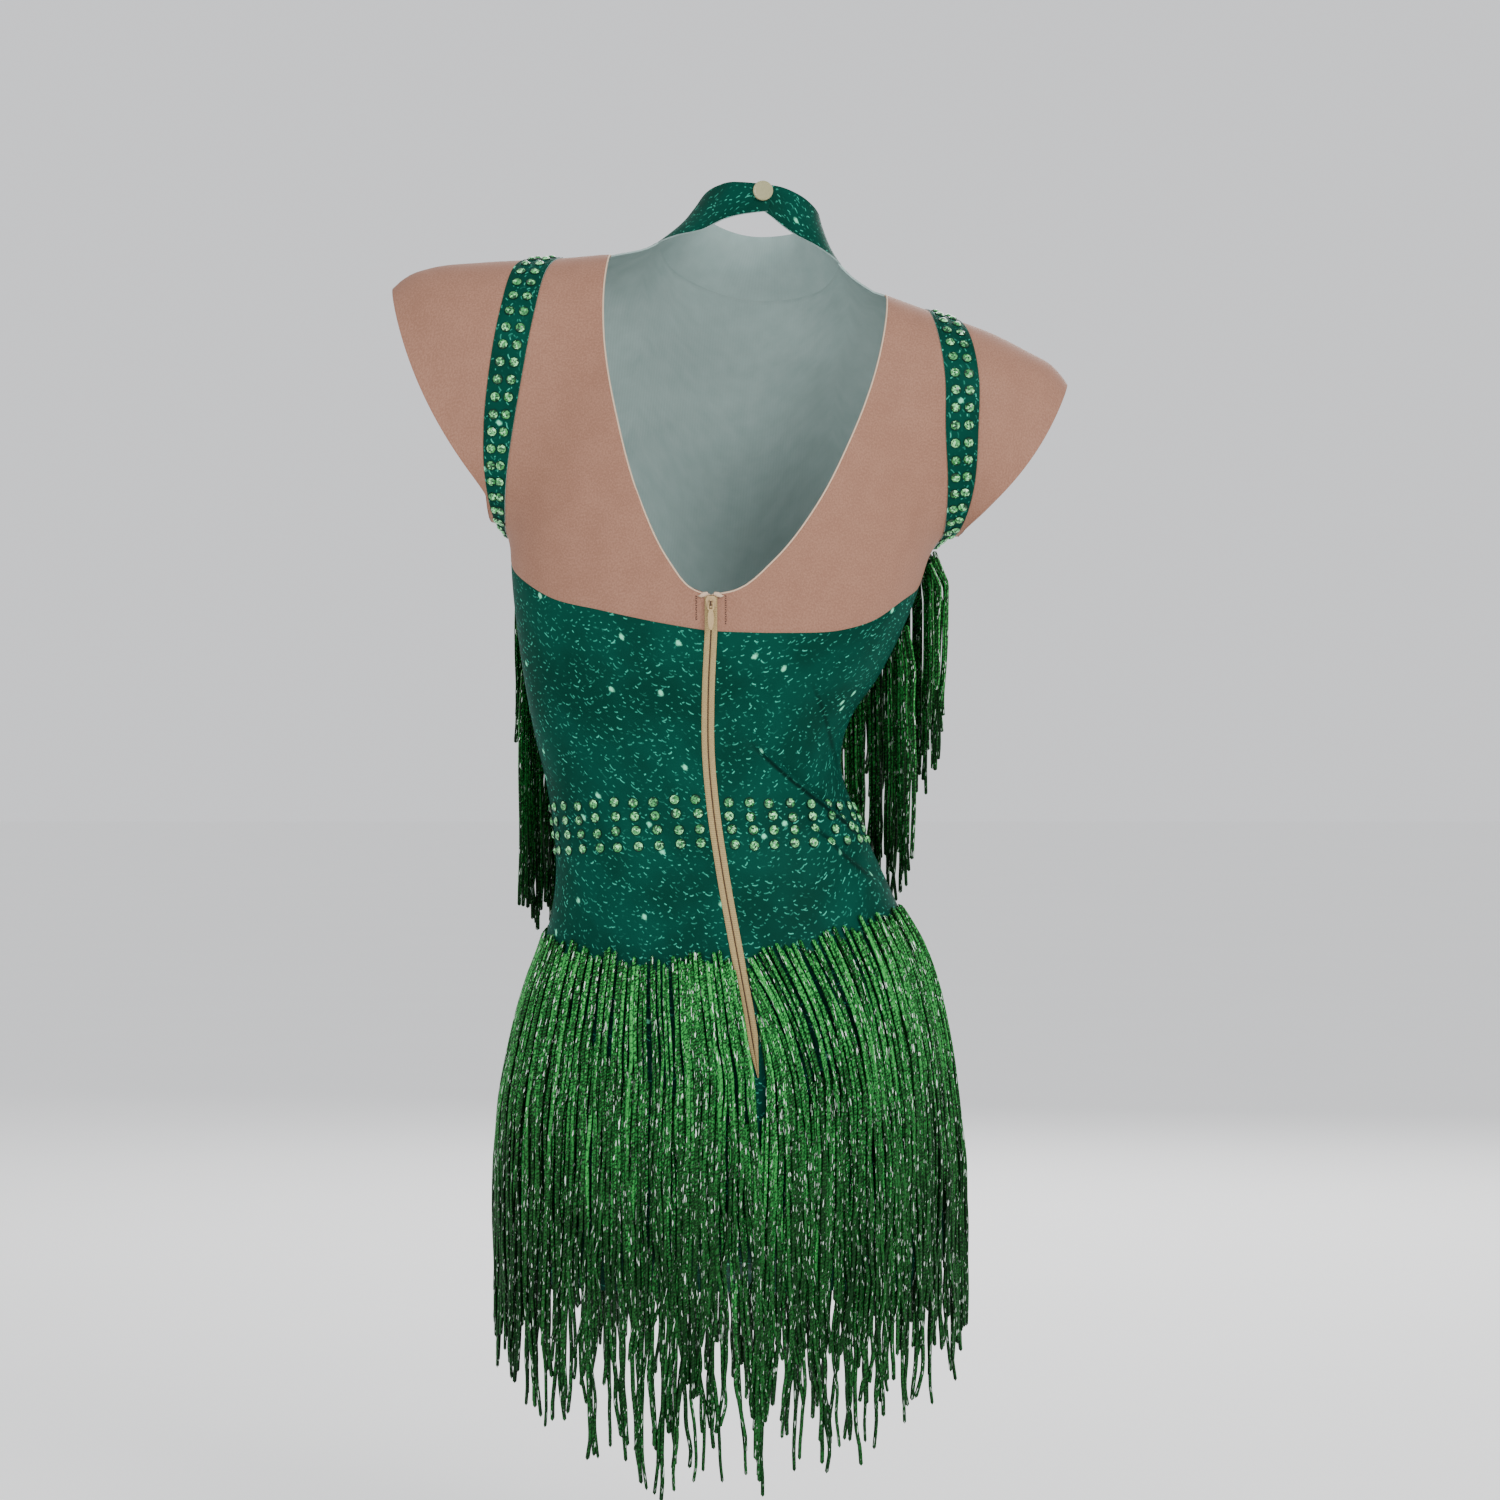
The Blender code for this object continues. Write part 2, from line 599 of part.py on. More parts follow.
def build_sleeves(lines):
    """On each side, the green band over the armhole and the nude cap sleeve beyond it."""
    for side in SHOULDERS:
        rings = np.stack(armhole_rings(lines, side))
        cloth("armhole_band_" + side, rings, "green_cloth", closed=True, thick=BAND_WALL)
        mouth, out, up, _ = shoulder_axes(side)
        half_height, half_depth = table_at(SHOULDER_KNOTS[side], np.zeros(1))
        turn = np.linspace(0, 2 * math.pi, rings.shape[1])[:, None]
        past = np.maximum(MOUTH_BOW[side] * np.sin(turn) ** 2, ((rings[2] - mouth) @ out)[:, None] + 4)
        rim = on_figure(
            mouth + (past - MOUTH_HEM) * out
            + np.cos(turn) * half_height * up
            + np.sin(turn) * half_depth * np.array([0.0, 1.0, 0.0])
        )
        share = np.linspace(0, 1, SLEEVE_ROWS + 1)[:, None, None]
        swell = 4 * share * (1 - share) * 6 * outward(rings[2])[None]
        grid = on_figure((1 - share) * rings[2][None] + share * rim[None] + swell)
        grid[0], grid[-1] = rings[2], rim
        cloth("cap_sleeve_" + side, grid, "nude_mesh", closed=True)


def build_collar(lines):
    """The collar, its lapped end raised clear of the end beneath, and the snap's cap on it."""
    foot = joined(lines["collar_foot_left"], lines["neck_front"], lines["collar_foot_right"])
    top = lines["collar_top"]
    share = np.linspace(0, 1, COLLAR_ROWS + 1)[:, None, None]
    grid = on_figure((1 - share) * foot[None] + share * top[None], (1, 1, 0.1))
    grid[0], grid[-1] = foot, top
    lift = np.zeros(grid.shape[:2])
    lift[:, :LAP_COLUMNS] = LAP_LIFT
    lift[:, LAP_COLUMNS] = LAP_LIFT / 2
    keep("collar", wall(drawn_in(grid), lift, WALL), "green_cloth")

    seat = on_figure([[SNAP_PLACE[0], 40, SNAP_PLACE[1]]], (0, 1, 0))[0]
    bm = bmesh.new()
    bmesh.ops.create_cone(
        bm, cap_ends=True, segments=20, radius1=SNAP_RADIUS, radius2=SNAP_RADIUS, depth=SNAP_THICK
    )
    bmesh.ops.translate(bm, vec=(0, 0, SNAP_THICK / 2), verts=bm.verts)
    rim = [edge for edge in bm.edges if min(vert.co.z for vert in edge.verts) > SNAP_THICK / 2]
    bmesh.ops.bevel(bm, geom=rim, offset=SNAP_EDGE, segments=2, profile=0.5, affect="EDGES")
    normal = outward(seat[None])[0]
    set_down(bm, seat + normal * (LAP_LIFT + WALL + LAY_GAP), normal)
    keep("collar_snap", bm, "snap_cap")


def set_down(bm, middle, normal):
    """Moves a bmesh from the origin to its place: its x level, its y up and its z along the normal."""
    level = np.cross([0, 0, 1.0], normal)
    level /= np.linalg.norm(level)
    axes = np.column_stack([level, np.cross(normal, level), normal])
    for vert in bm.verts:
        vert.co = middle + axes @ np.array(vert.co)


def plate(rows, core):
    """A flat bmesh from rows of (down, half width), with a middle column as wide as the core."""
    bm = bmesh.new()
    bmesh.ops.create_grid(bm, x_segments=3, y_segments=len(rows) - 1, size=1)
    for vert in bm.verts:
        down, half = rows[round((vert.co.y + 1) / 2 * (len(rows) - 1))]
        across = (-half, -core, core, half)[round((vert.co.x + 1) / 2 * 3)]
        vert.co = (across, -down, 0)
    return bm


def thicken(bm, thick):
    grown = bmesh.ops.extrude_face_region(bm, geom=bm.faces[:])["geom"]
    moved = [item for item in grown if isinstance(item, bmesh.types.BMVert)]
    bmesh.ops.translate(bm, vec=(0, 0, thick), verts=moved)


def core_faces(bm, core, low, start, end):
    """The faces of the middle column above this height whose middles lie this far up or down."""
    middles = ((face, face.calc_center_median()) for face in bm.faces)
    return [
        face for face, at in middles
        if abs(at.x) < core / 2 and at.z > low and start < abs(at.y) < end
    ]


def build_zip(lines):
    """The tape, the slider with its staple, and the pull tab, which hangs plumb from the staple."""
    line = joined(lines["zip_top"], lines["zip_back"])
    across = np.cross(np.gradient(line, axis=0), outward(line))
    across /= np.linalg.norm(across, axis=1)[:, None]
    half = TAPE_HALF_WIDTH * np.clip(0.12 + np.linalg.norm(line - line[-1], axis=1) / TAPE_POINT, 0, 1)
    places = np.linspace(-1, 1, 3)[None, :, None] * half[:, None, None]
    grid = on_figure(line[:, None] + places * across[:, None])
    keep("zip_tape", wall(grid, WALL + LAY_GAP + fold_lift(grid), TAPE_WALL), "zip_cloth")

    seat = evenly(line, np.array([SLIDER_DOWN / (line[0, 2] - line[-1, 2])]))[0]
    normal = outward(seat[None])[0]
    on_tape = seat + normal * (WALL + LAY_GAP + TAPE_WALL + LAY_GAP)
    bm = plate(SLIDER_PLATE, SLIDER_CORE)
    thicken(bm, SLIDER_THICK)
    leg_start, leg_end = SLIDER_PLATE[3][0], SLIDER_PLATE[4][0]
    legs = core_faces(bm, SLIDER_CORE, SLIDER_THICK / 2, leg_start, leg_end)
    for rise in (STAPLE_CLEAR - SLIDER_THICK, STAPLE_TOP - STAPLE_CLEAR):
        legs = bmesh.ops.extrude_discrete_faces(bm, faces=legs)["faces"]
        bmesh.ops.translate(bm, vec=(0, 0, rise), verts=[vert for face in legs for vert in face.verts])
    facing = core_faces(bm, SLIDER_CORE, STAPLE_CLEAR, leg_start - 0.1, leg_start + 0.1)
    edges = [edge for face in facing for edge in face.edges]
    bmesh.ops.delete(bm, geom=facing, context="FACES_ONLY")
    bmesh.ops.bridge_loops(bm, edges=edges)
    set_down(bm, on_tape, normal)
    keep("zip_slider", bm, "zip_metal")

    bm = plate(PULL_PLATE, PULL_CORE)
    eye = core_faces(bm, PULL_CORE, -1, PULL_PLATE[1][0], PULL_PLATE[2][0])
    bmesh.ops.delete(bm, geom=eye, context="FACES_ONLY")
    thicken(bm, PULL_THICK)
    bmesh.ops.translate(bm, vec=(0, 0, -PULL_THICK / 2), verts=bm.verts)
    plumb = normal * [1, 1, 0]
    set_down(bm, on_tape + normal * PULL_AXIS, plumb / np.linalg.norm(plumb))
    keep("zip_pull_tab", bm, "zip_metal")


def hang(roots, lengths, lift, zip_line):
    """Where strands lie: each falls straight, and is pushed out where the figure is in its way.

    Strands beside the zip lean along with it. Returns the paths by step, strand and axis.
    """

    def zip_at(height):
        return np.interp(-height, -zip_line[:, 2], zip_line[:, 0])

    beside = np.abs(roots[:, 0] - zip_at(roots[:, 2]))
    lean = np.where(roots[:, 1] > 0, np.exp(-beside / ZIP_LEAN_REACH), 0)
    steps = int(max(lengths) / MARCH) + 2
    path = [roots]
    for step in range(1, steps + 1):
        p = path[-1] + np.array([0, 0, -MARCH])
        p[:, 0] += lean * (zip_at(p[:, 2]) - zip_at(path[-1][:, 2]))
        wanted = lift[0] + (lift[1] - lift[0]) * min(1, MARCH * step / RISE)
        short = np.maximum(wanted - figure_gap(p), 0)
        path.append(p + outward(p) * short[:, None])
    return np.array(path)


def build_trim(name, zip_line, root, locks, width, length, uneven, lift, rings):
    """A narrow strip on the cloth, with its strands drawn out of its lower edge."""
    line = seam(root, 100)
    run = np.linalg.norm(np.diff(line, axis=0), axis=1).sum()
    middles = (np.arange(locks) + 0.5) / locks
    edges = np.column_stack([middles - width / 2 / run, middles + width / 2 / run]).ravel()
    foot = evenly(line, edges)
    grid = np.stack([foot, on_figure(foot + np.array([0, 0, TRIM_HEIGHT]), (1, 1, 0.1))])
    bm = wall(grid, TRIM_LIFT, TRIM_WALL)
    row_of, column_of, outer_of = (bm.verts.layers.int[key] for key in ("row", "column", "outer"))
    lower = {
        min(vert[column_of] for vert in face.verts): face
        for face in bm.faces if all(vert[row_of] == 0 for vert in face.verts)
    }

    chance = np.random.default_rng(len(name))
    lengths = length + uneven * chance.uniform(-1, 1, locks)
    sways = SWAY * (0.6 * np.sin(0.9 * np.arange(locks)) + chance.uniform(-0.4, 0.4, locks))
    roots = (foot[0::2] + foot[1::2]) / 2
    tangents = (foot[1::2] - foot[0::2]) * [1, 1, 0]
    tangents /= np.linalg.norm(tangents, axis=1)[:, None]
    outs = np.cross(tangents, [0, 0, 1.0])
    outs *= np.sign((outs * outward(roots)).sum(1))[:, None]
    paths = hang(roots + outward(roots) * (TRIM_LIFT + TRIM_WALL / 2), lengths, lift, zip_line)
    for k in range(locks):
        run = np.linalg.norm(np.diff(paths[:, k], axis=0), axis=1).sum()
        middles = evenly(paths[:, k], np.array(rings) * lengths[k] / run)
        face = lower[2 * k]
        for share, middle in zip(rings, middles):
            face = bmesh.ops.extrude_discrete_faces(bm, faces=[face])["faces"][0]
            half = width / 2 * (1 + (STRAND_TIP - 1) * share)
            for vert in face.verts:
                across = half * (1 if vert[column_of] > 2 * k else -1) + sways[k] * share**2
                thick = STRAND_HALF_THICK * (1 if vert[outer_of] else -1)
                vert.co = middle + tangents[k] * across + outs[k] * thick
    keep(name, bm, "green_fringe")


def main():
    clear_scene()
    lines = seam_lines()
    build_front(lines)
    build_back(lines)
    build_sleeves(lines)
    build_collar(lines)
    build_zip(lines)
    for name, facts in TRIMS.items():
        build_trim(name, joined(lines["zip_top"], lines["zip_back"]), **facts)


main()
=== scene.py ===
"""The looks of a fringe dance leotard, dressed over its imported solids.

Each cloth piece is a thin sheet on the same general figure as its solid, cut along the same seam
lines, with finer creases. Stones, fringe strands, stitches and the zip's small parts lie on those
sheets. Lengths are in millimetres while a piece is shaped, and in metres once it is kept.
"""
import logging
import math
from dataclasses import dataclass, field
from enum import Enum

import bmesh
import bpy
import numpy as np
from mathutils import Matrix, Vector


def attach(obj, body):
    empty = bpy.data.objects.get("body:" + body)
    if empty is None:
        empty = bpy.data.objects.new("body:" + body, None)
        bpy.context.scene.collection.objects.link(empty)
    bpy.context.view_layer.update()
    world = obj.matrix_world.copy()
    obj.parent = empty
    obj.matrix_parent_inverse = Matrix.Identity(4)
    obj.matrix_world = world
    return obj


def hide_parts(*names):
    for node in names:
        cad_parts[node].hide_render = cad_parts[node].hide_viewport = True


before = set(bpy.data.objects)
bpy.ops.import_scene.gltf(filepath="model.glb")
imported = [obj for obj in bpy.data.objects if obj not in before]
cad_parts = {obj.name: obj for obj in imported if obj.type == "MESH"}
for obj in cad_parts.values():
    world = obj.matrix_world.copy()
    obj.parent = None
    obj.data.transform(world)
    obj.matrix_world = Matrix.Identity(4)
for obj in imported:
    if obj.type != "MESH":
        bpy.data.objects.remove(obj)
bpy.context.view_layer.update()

MM = 0.001
# How many fine steps each coarse step of a seam has.
FINE = 9
# A full turn in the shaders, and the one that random draws go up to.
TURN, SPIN = 6.283, 6.28
# How readily points move along each axis as they settle on the form.
KEEP_LEVEL, DEPTH_ONLY = (1, 1, 0.1), (0, 1, 0)
LOG = logging.getLogger("leotard")

Array = np.ndarray
Rows = tuple[tuple[float, ...], ...]
Colour = tuple[float, float, float, float]


class Side(Enum):
    """The wearer's sides, with the sign of their way out along X."""

    LEFT = "left"
    RIGHT = "right"

    @property
    def way(self) -> int:
        """The sign of this side's way out along X."""
        return 1 if self is Side.LEFT else -1


class Body(Enum):
    """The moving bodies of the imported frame."""

    GARMENT = "garment"
    PULL = "zip_pull"


class Blend:
    """Values that change smoothly down a short table whose first column is the place."""

    def __init__(self, rows: Rows | Array) -> None:
        """Sorts the table and works out its slopes.

        Args:
            rows: Rows of a place and the values there.
        """
        table = np.array(rows, float)
        table = table[np.argsort(table[:, 0])]
        self.places, self.values = table[:, 0], table[:, 1:]
        self.slopes = np.gradient(self.values, self.places, axis=0)

    def at(self, place: Array) -> Array:
        """Reads the table smoothly.

        Args:
            place: Places to read, clipped to the table.

        Returns:
            One row of values for each column of the table.
        """
        place = np.clip(place, self.places[0], self.places[-1])
        index = np.clip(np.searchsorted(self.places, place) - 1, 0, len(self.places) - 2)
        span = (self.places[index + 1] - self.places[index])[:, None]
        t = (place - self.places[index])[:, None] / span
        return (
            self.values[index] * (2 * t**3 - 3 * t**2 + 1)
            + self.slopes[index] * span * (t**3 - 2 * t**2 + t)
            + self.values[index + 1] * (3 * t**2 - 2 * t**3)
            + self.slopes[index + 1] * span * (t**3 - t**2)
        ).T


def smooth_min(a: Array, b: Array, width: float) -> Array:
    """The lesser of two gaps, with a fillet of this width where they meet."""
    near = np.maximum(width - np.abs(a - b), 0) / width
    return np.minimum(a, b) - near * near * width / 4


def smooth_max(a: Array, b: Array, width: float) -> Array:
    """The greater of two gaps, with a fillet of this width where they meet."""
    return -smooth_min(-a, -b, width)


def section_gap(across: Array, deep: Array, half_across: Array, half_deep: Array, power: float = 2.0) -> Array:
    """How far points lie outside a superellipse, along the ray from its middle.

    Args:
        across: Their distances from the middle across it.
        deep: Their distances from front to back.
        half_across: Its half width.
        half_deep: Its half depth.
        power: 2 for an ellipse, more for a squarer one.

    Returns:
        The gap at each point.
    """
    reach = np.maximum(np.hypot(across, deep), 1e-6)
    share = (np.abs(across / half_across) ** power + np.abs(deep / half_deep) ** power) ** (1 / power)
    return reach - reach / np.maximum(share, 1e-6)


def evenly(curve: Array, shares: Array) -> Array:
    """The points at these shares of a curve's length."""
    run = np.r_[0, np.cumsum(np.linalg.norm(np.diff(curve, axis=0), axis=1))]
    return np.column_stack([np.interp(shares * run[-1], run, curve[:, axis]) for axis in range(3)])


def length_of(curve: Array) -> float:
    """A curve's length."""
    return float(np.linalg.norm(np.diff(curve, axis=0), axis=1).sum())


def drawn(rows: Rows, steps: int) -> Array:
    """Draws a smooth curve through rows of points.

    Args:
        rows: The points that it passes.
        steps: How many even steps it is divided into.

    Returns:
        steps + 1 points.
    """
    points = np.array(rows, float)
    chord = np.r_[0, np.cumsum(np.linalg.norm(np.diff(points, axis=0), axis=1))]
    curve = Blend(np.column_stack([chord, points])).at(np.linspace(0, chord[-1], 400)).T
    return evenly(curve, np.linspace(0, 1, steps + 1))


def joined(*lines: Array) -> Array:
    """Lines that follow each other, as one."""
    return np.vstack([lines[0]] + [line[1:] for line in lines[1:]])


def unit(vectors: Array) -> Array:
    """The vectors at length one."""
    return vectors / np.maximum(np.linalg.norm(vectors, axis=-1, keepdims=True), 1e-9)


def refined(grid: Array, fine: int) -> Array:
    """Divides each cell of a grid of points smoothly.

    Args:
        grid: Points by row and column.
        fine: How many parts each step is divided into.

    Returns:
        The finer grid.
    """
    for axis in (0, 1):
        turned = np.moveaxis(grid, axis, 0)
        count = turned.shape[0]
        table = np.column_stack([np.arange(count), turned.reshape(count, -1)])
        dense = Blend(table).at(np.linspace(0, count - 1, (count - 1) * fine + 1)).T
        grid = np.moveaxis(dense.reshape((-1,) + turned.shape[1:]), 0, axis)
    return grid


@dataclass
class WornForm:
    """The smooth general figure that the cloth lies on, as a gap function in millimetres."""

    # level, centre_x, half_width, back, front, roll_deg
    trunk: Rows = (
        (-720, 4, 136, 96, 80, 0.0), (-640, 4, 143, 104, 84, 0.0), (-578, 4, 146, 108, 90, -1.0),
        (-538, 5, 144, 106, 95, -2.0), (-498, 5, 138, 100, 98, -4.0), (-459, 7, 129, 90, 98, -6.5),
        (-419, 11, 115, 79, 95, -8.5), (-373, 17, 101, 70, 92, -8.5), (-324, 27, 96, 68, 92, -5.0),
        (-290, 29, 103, 72, 95, -1.0), (-248, 23, 118, 80, 104, 4.0), (-214, 18, 128, 86, 114, 6.0),
        (-181, 13, 135, 90, 118, 7.0), (-142, 8, 139, 92, 112, 8.0), (-96, 3, 132, 90, 98, 8.4),
        (-40, -4, 112, 80, 80, 8.4), (40, -10, 100, 70, 70, 8.4),
    )
    trunk_power: float = 2.35
    trunk_ends: tuple[float, float] = (-643, -8)
    end_rounds: tuple[float, float] = (60, 70)
    # root_x, root_z, mouth_x, mouth_z
    shoulders: dict[Side, tuple[float, ...]] = field(default_factory=lambda: {
        Side.LEFT: (42, -5, 190, -78), Side.RIGHT: (-48, -17, -184, -116),
    })
    # from_mouth, half_height, half_depth
    shoulder_sections: dict[Side, Rows] = field(default_factory=lambda: {
        Side.LEFT: (
            (-14, 77, 50), (2, 82, 52), (14, 85, 54), (30, 83, 57), (60, 72, 58), (95, 57, 53), (140, 38, 42),
        ),
        Side.RIGHT: (
            (-14, 52, 47), (2, 60, 49), (16, 64, 52), (35, 62, 55), (60, 58, 55), (95, 48, 50), (140, 34, 40),
        ),
    })
    shoulder_power: float = 2.1
    shoulder_end: tuple[float, float] = (26, 10)
    # height, centre_x, centre_y, half_width, half_depth
    neck: Rows = (
        (-20, -6, -2, 60, 48), (14, -7, -2, 56, 46), (30, -8, -2, 51, 44),
        (44, -12, -3, 43, 41), (58, -16, -3, 37, 39), (100, -22, -6, 35, 37),
    )
    # height, centre_x, radius
    thighs: tuple[Rows, ...] = (
        ((-560, 64, 78), (-640, 58, 71.5), (-664, 57, 64), (-720, 56, 56)),
        ((-560, -74, 62), (-640, -73.5, 60.5), (-664, -76.5, 57.5), (-720, -78, 52)),
    )
    thigh_top: float = -575
    blend_shoulder: float = 30
    blend_neck: float = 30
    blend_thigh: float = 22
    blend_between: float = 8
    neck_foot: float = 20
    thigh_round: float = 30
    settle_rounds: int = 14
    settle_close: float = 0.004
    longest_step: float = 12

    def __post_init__(self) -> None:
        """Makes the tables ready to read."""
        self._trunk, self._neck = Blend(self.trunk), Blend(self.neck)
        self._thighs = [Blend(rows) for rows in self.thighs]
        self.sections = {side: Blend(rows) for side, rows in self.shoulder_sections.items()}

    def _trunk_gap(self, p: Array) -> Array:
        """The gap to the trunk alone.

        Args:
            p: Points by row and axis.

        Returns:
            The gap at each point.
        """
        level = p[:, 2]
        for _ in range(3):
            centre, half, back, front, roll = self._trunk.at(level)
            tilt = np.radians(roll)
            level = p[:, 2] - (p[:, 0] - centre) * np.tan(tilt)
        across = (p[:, 0] - centre) / np.cos(tilt)
        side = section_gap(across, p[:, 1], half, np.where(p[:, 1] > 0, back, front), self.trunk_power)
        capped = smooth_max(side, level - self.trunk_ends[1], self.end_rounds[1])
        return smooth_max(capped, self.trunk_ends[0] - level, self.end_rounds[0])

    def shoulder_axes(self, side: Side) -> tuple[Array, Array, Array, float]:
        """The mouth's middle, the way out along the cone, the way up across it, and its length.

        Args:
            side: The shoulder's side.

        Returns:
            The four, in that order.
        """
        root_x, root_z, mouth_x, mouth_z = self.shoulders[side]
        along = np.array([mouth_x - root_x, 0.0, mouth_z - root_z])
        length = float(np.linalg.norm(along))
        out = along / length
        up = np.array([-out[2], 0.0, out[0]])
        return np.array([mouth_x, 0.0, mouth_z]), out, up * np.sign(up[2]), length

    def _shoulder_gap(self, p: Array, side: Side) -> Array:
        """The gap to one shoulder's cone.

        Args:
            p: Points by row and axis.
            side: The shoulder's side.

        Returns:
            The gap at each point.
        """
        mouth, out, up, length = self.shoulder_axes(side)
        past = (p - mouth) @ out
        half_height, half_depth = self.sections[side].at(-past)
        cone = section_gap((p - mouth) @ up, p[:, 1], half_height, half_depth, self.shoulder_power)
        ended = smooth_max(cone, past - self.shoulder_end[0], self.shoulder_end[1])
        return smooth_max(ended, -past - length, self.end_rounds[1] / 2)

    def _neck_gap(self, p: Array) -> Array:
        """The gap to the neck.

        Args:
            p: Points by row and axis.

        Returns:
            The gap at each point.
        """
        centre_x, centre_y, half_width, half_depth = self._neck.at(p[:, 2])
        side = section_gap(p[:, 0] - centre_x, p[:, 1] - centre_y, half_width, half_depth)
        return smooth_max(side, self.neck[0][0] - self.neck_foot - p[:, 2], self.neck_foot)

    def _thigh_gap(self, p: Array, thigh: Blend) -> Array:
        """The gap to one thigh.

        Args:
            p: Points by row and axis.
            thigh: Its table of levels.

        Returns:
            The gap at each point.
        """
        centre_x, radius = thigh.at(p[:, 2])
        side = np.hypot(p[:, 0] - centre_x, p[:, 1]) - radius
        return smooth_max(side, p[:, 2] - self.thigh_top, self.thigh_round)

    def gap(self, p: Array) -> Array:
        """How far each point lies outside the form, negative inside it.

        Args:
            p: Points by row and axis.

        Returns:
            The gap at each point.
        """
        gap = self._trunk_gap(p)
        for side in Side:
            gap = smooth_min(gap, self._shoulder_gap(p, side), self.blend_shoulder)
        gap = smooth_min(gap, self._neck_gap(p), self.blend_neck)
        legs = smooth_min(*(self._thigh_gap(p, thigh) for thigh in self._thighs), self.blend_between)
        return smooth_min(gap, legs, self.blend_thigh)

    def slope(self, p: Array) -> Array:
        """The gradient of the gap, from four probes round each point.

        Args:
            p: Points by row and axis.

        Returns:
            The gradient at each point.
        """
        probe = 0.5 * np.array([[1, -1, -1], [-1, -1, 1], [-1, 1, -1], [1, 1, 1]], float)
        gaps = self.gap((p[None] + probe[:, None]).reshape(-1, 3)).reshape(4, -1)
        return np.einsum("kn,kc->nc", gaps, probe)

    def outward(self, points: Array) -> Array:
        """Unit normals of the form at points of any array shape."""
        return unit(self.slope(points.reshape(-1, 3))).reshape(points.shape)

    def settle(self, points: Array, freedom: tuple[float, float, float] = (1, 1, 1)) -> Array:
        """Moves points on to the form.

        Args:
            points: Points, of any array shape.
            freedom: How readily each axis moves.

        Returns:
            The moved points, in the same shape.
        """
        p = np.array(points, float).reshape(-1, 3)
        for _ in range(self.settle_rounds):
            gap = self.gap(p)
            if np.abs(gap).max() < self.settle_close:
                break
            slope = self.slope(p)
            pull = slope * np.array(freedom, float)
            move = -gap[:, None] * pull / np.maximum((pull * slope).sum(1), 0.02)[:, None]
            size = np.linalg.norm(move, axis=1)[:, None]
            p += move * np.minimum(1, self.longest_step / np.maximum(size, 1e-9))
        return p.reshape(np.shape(points))


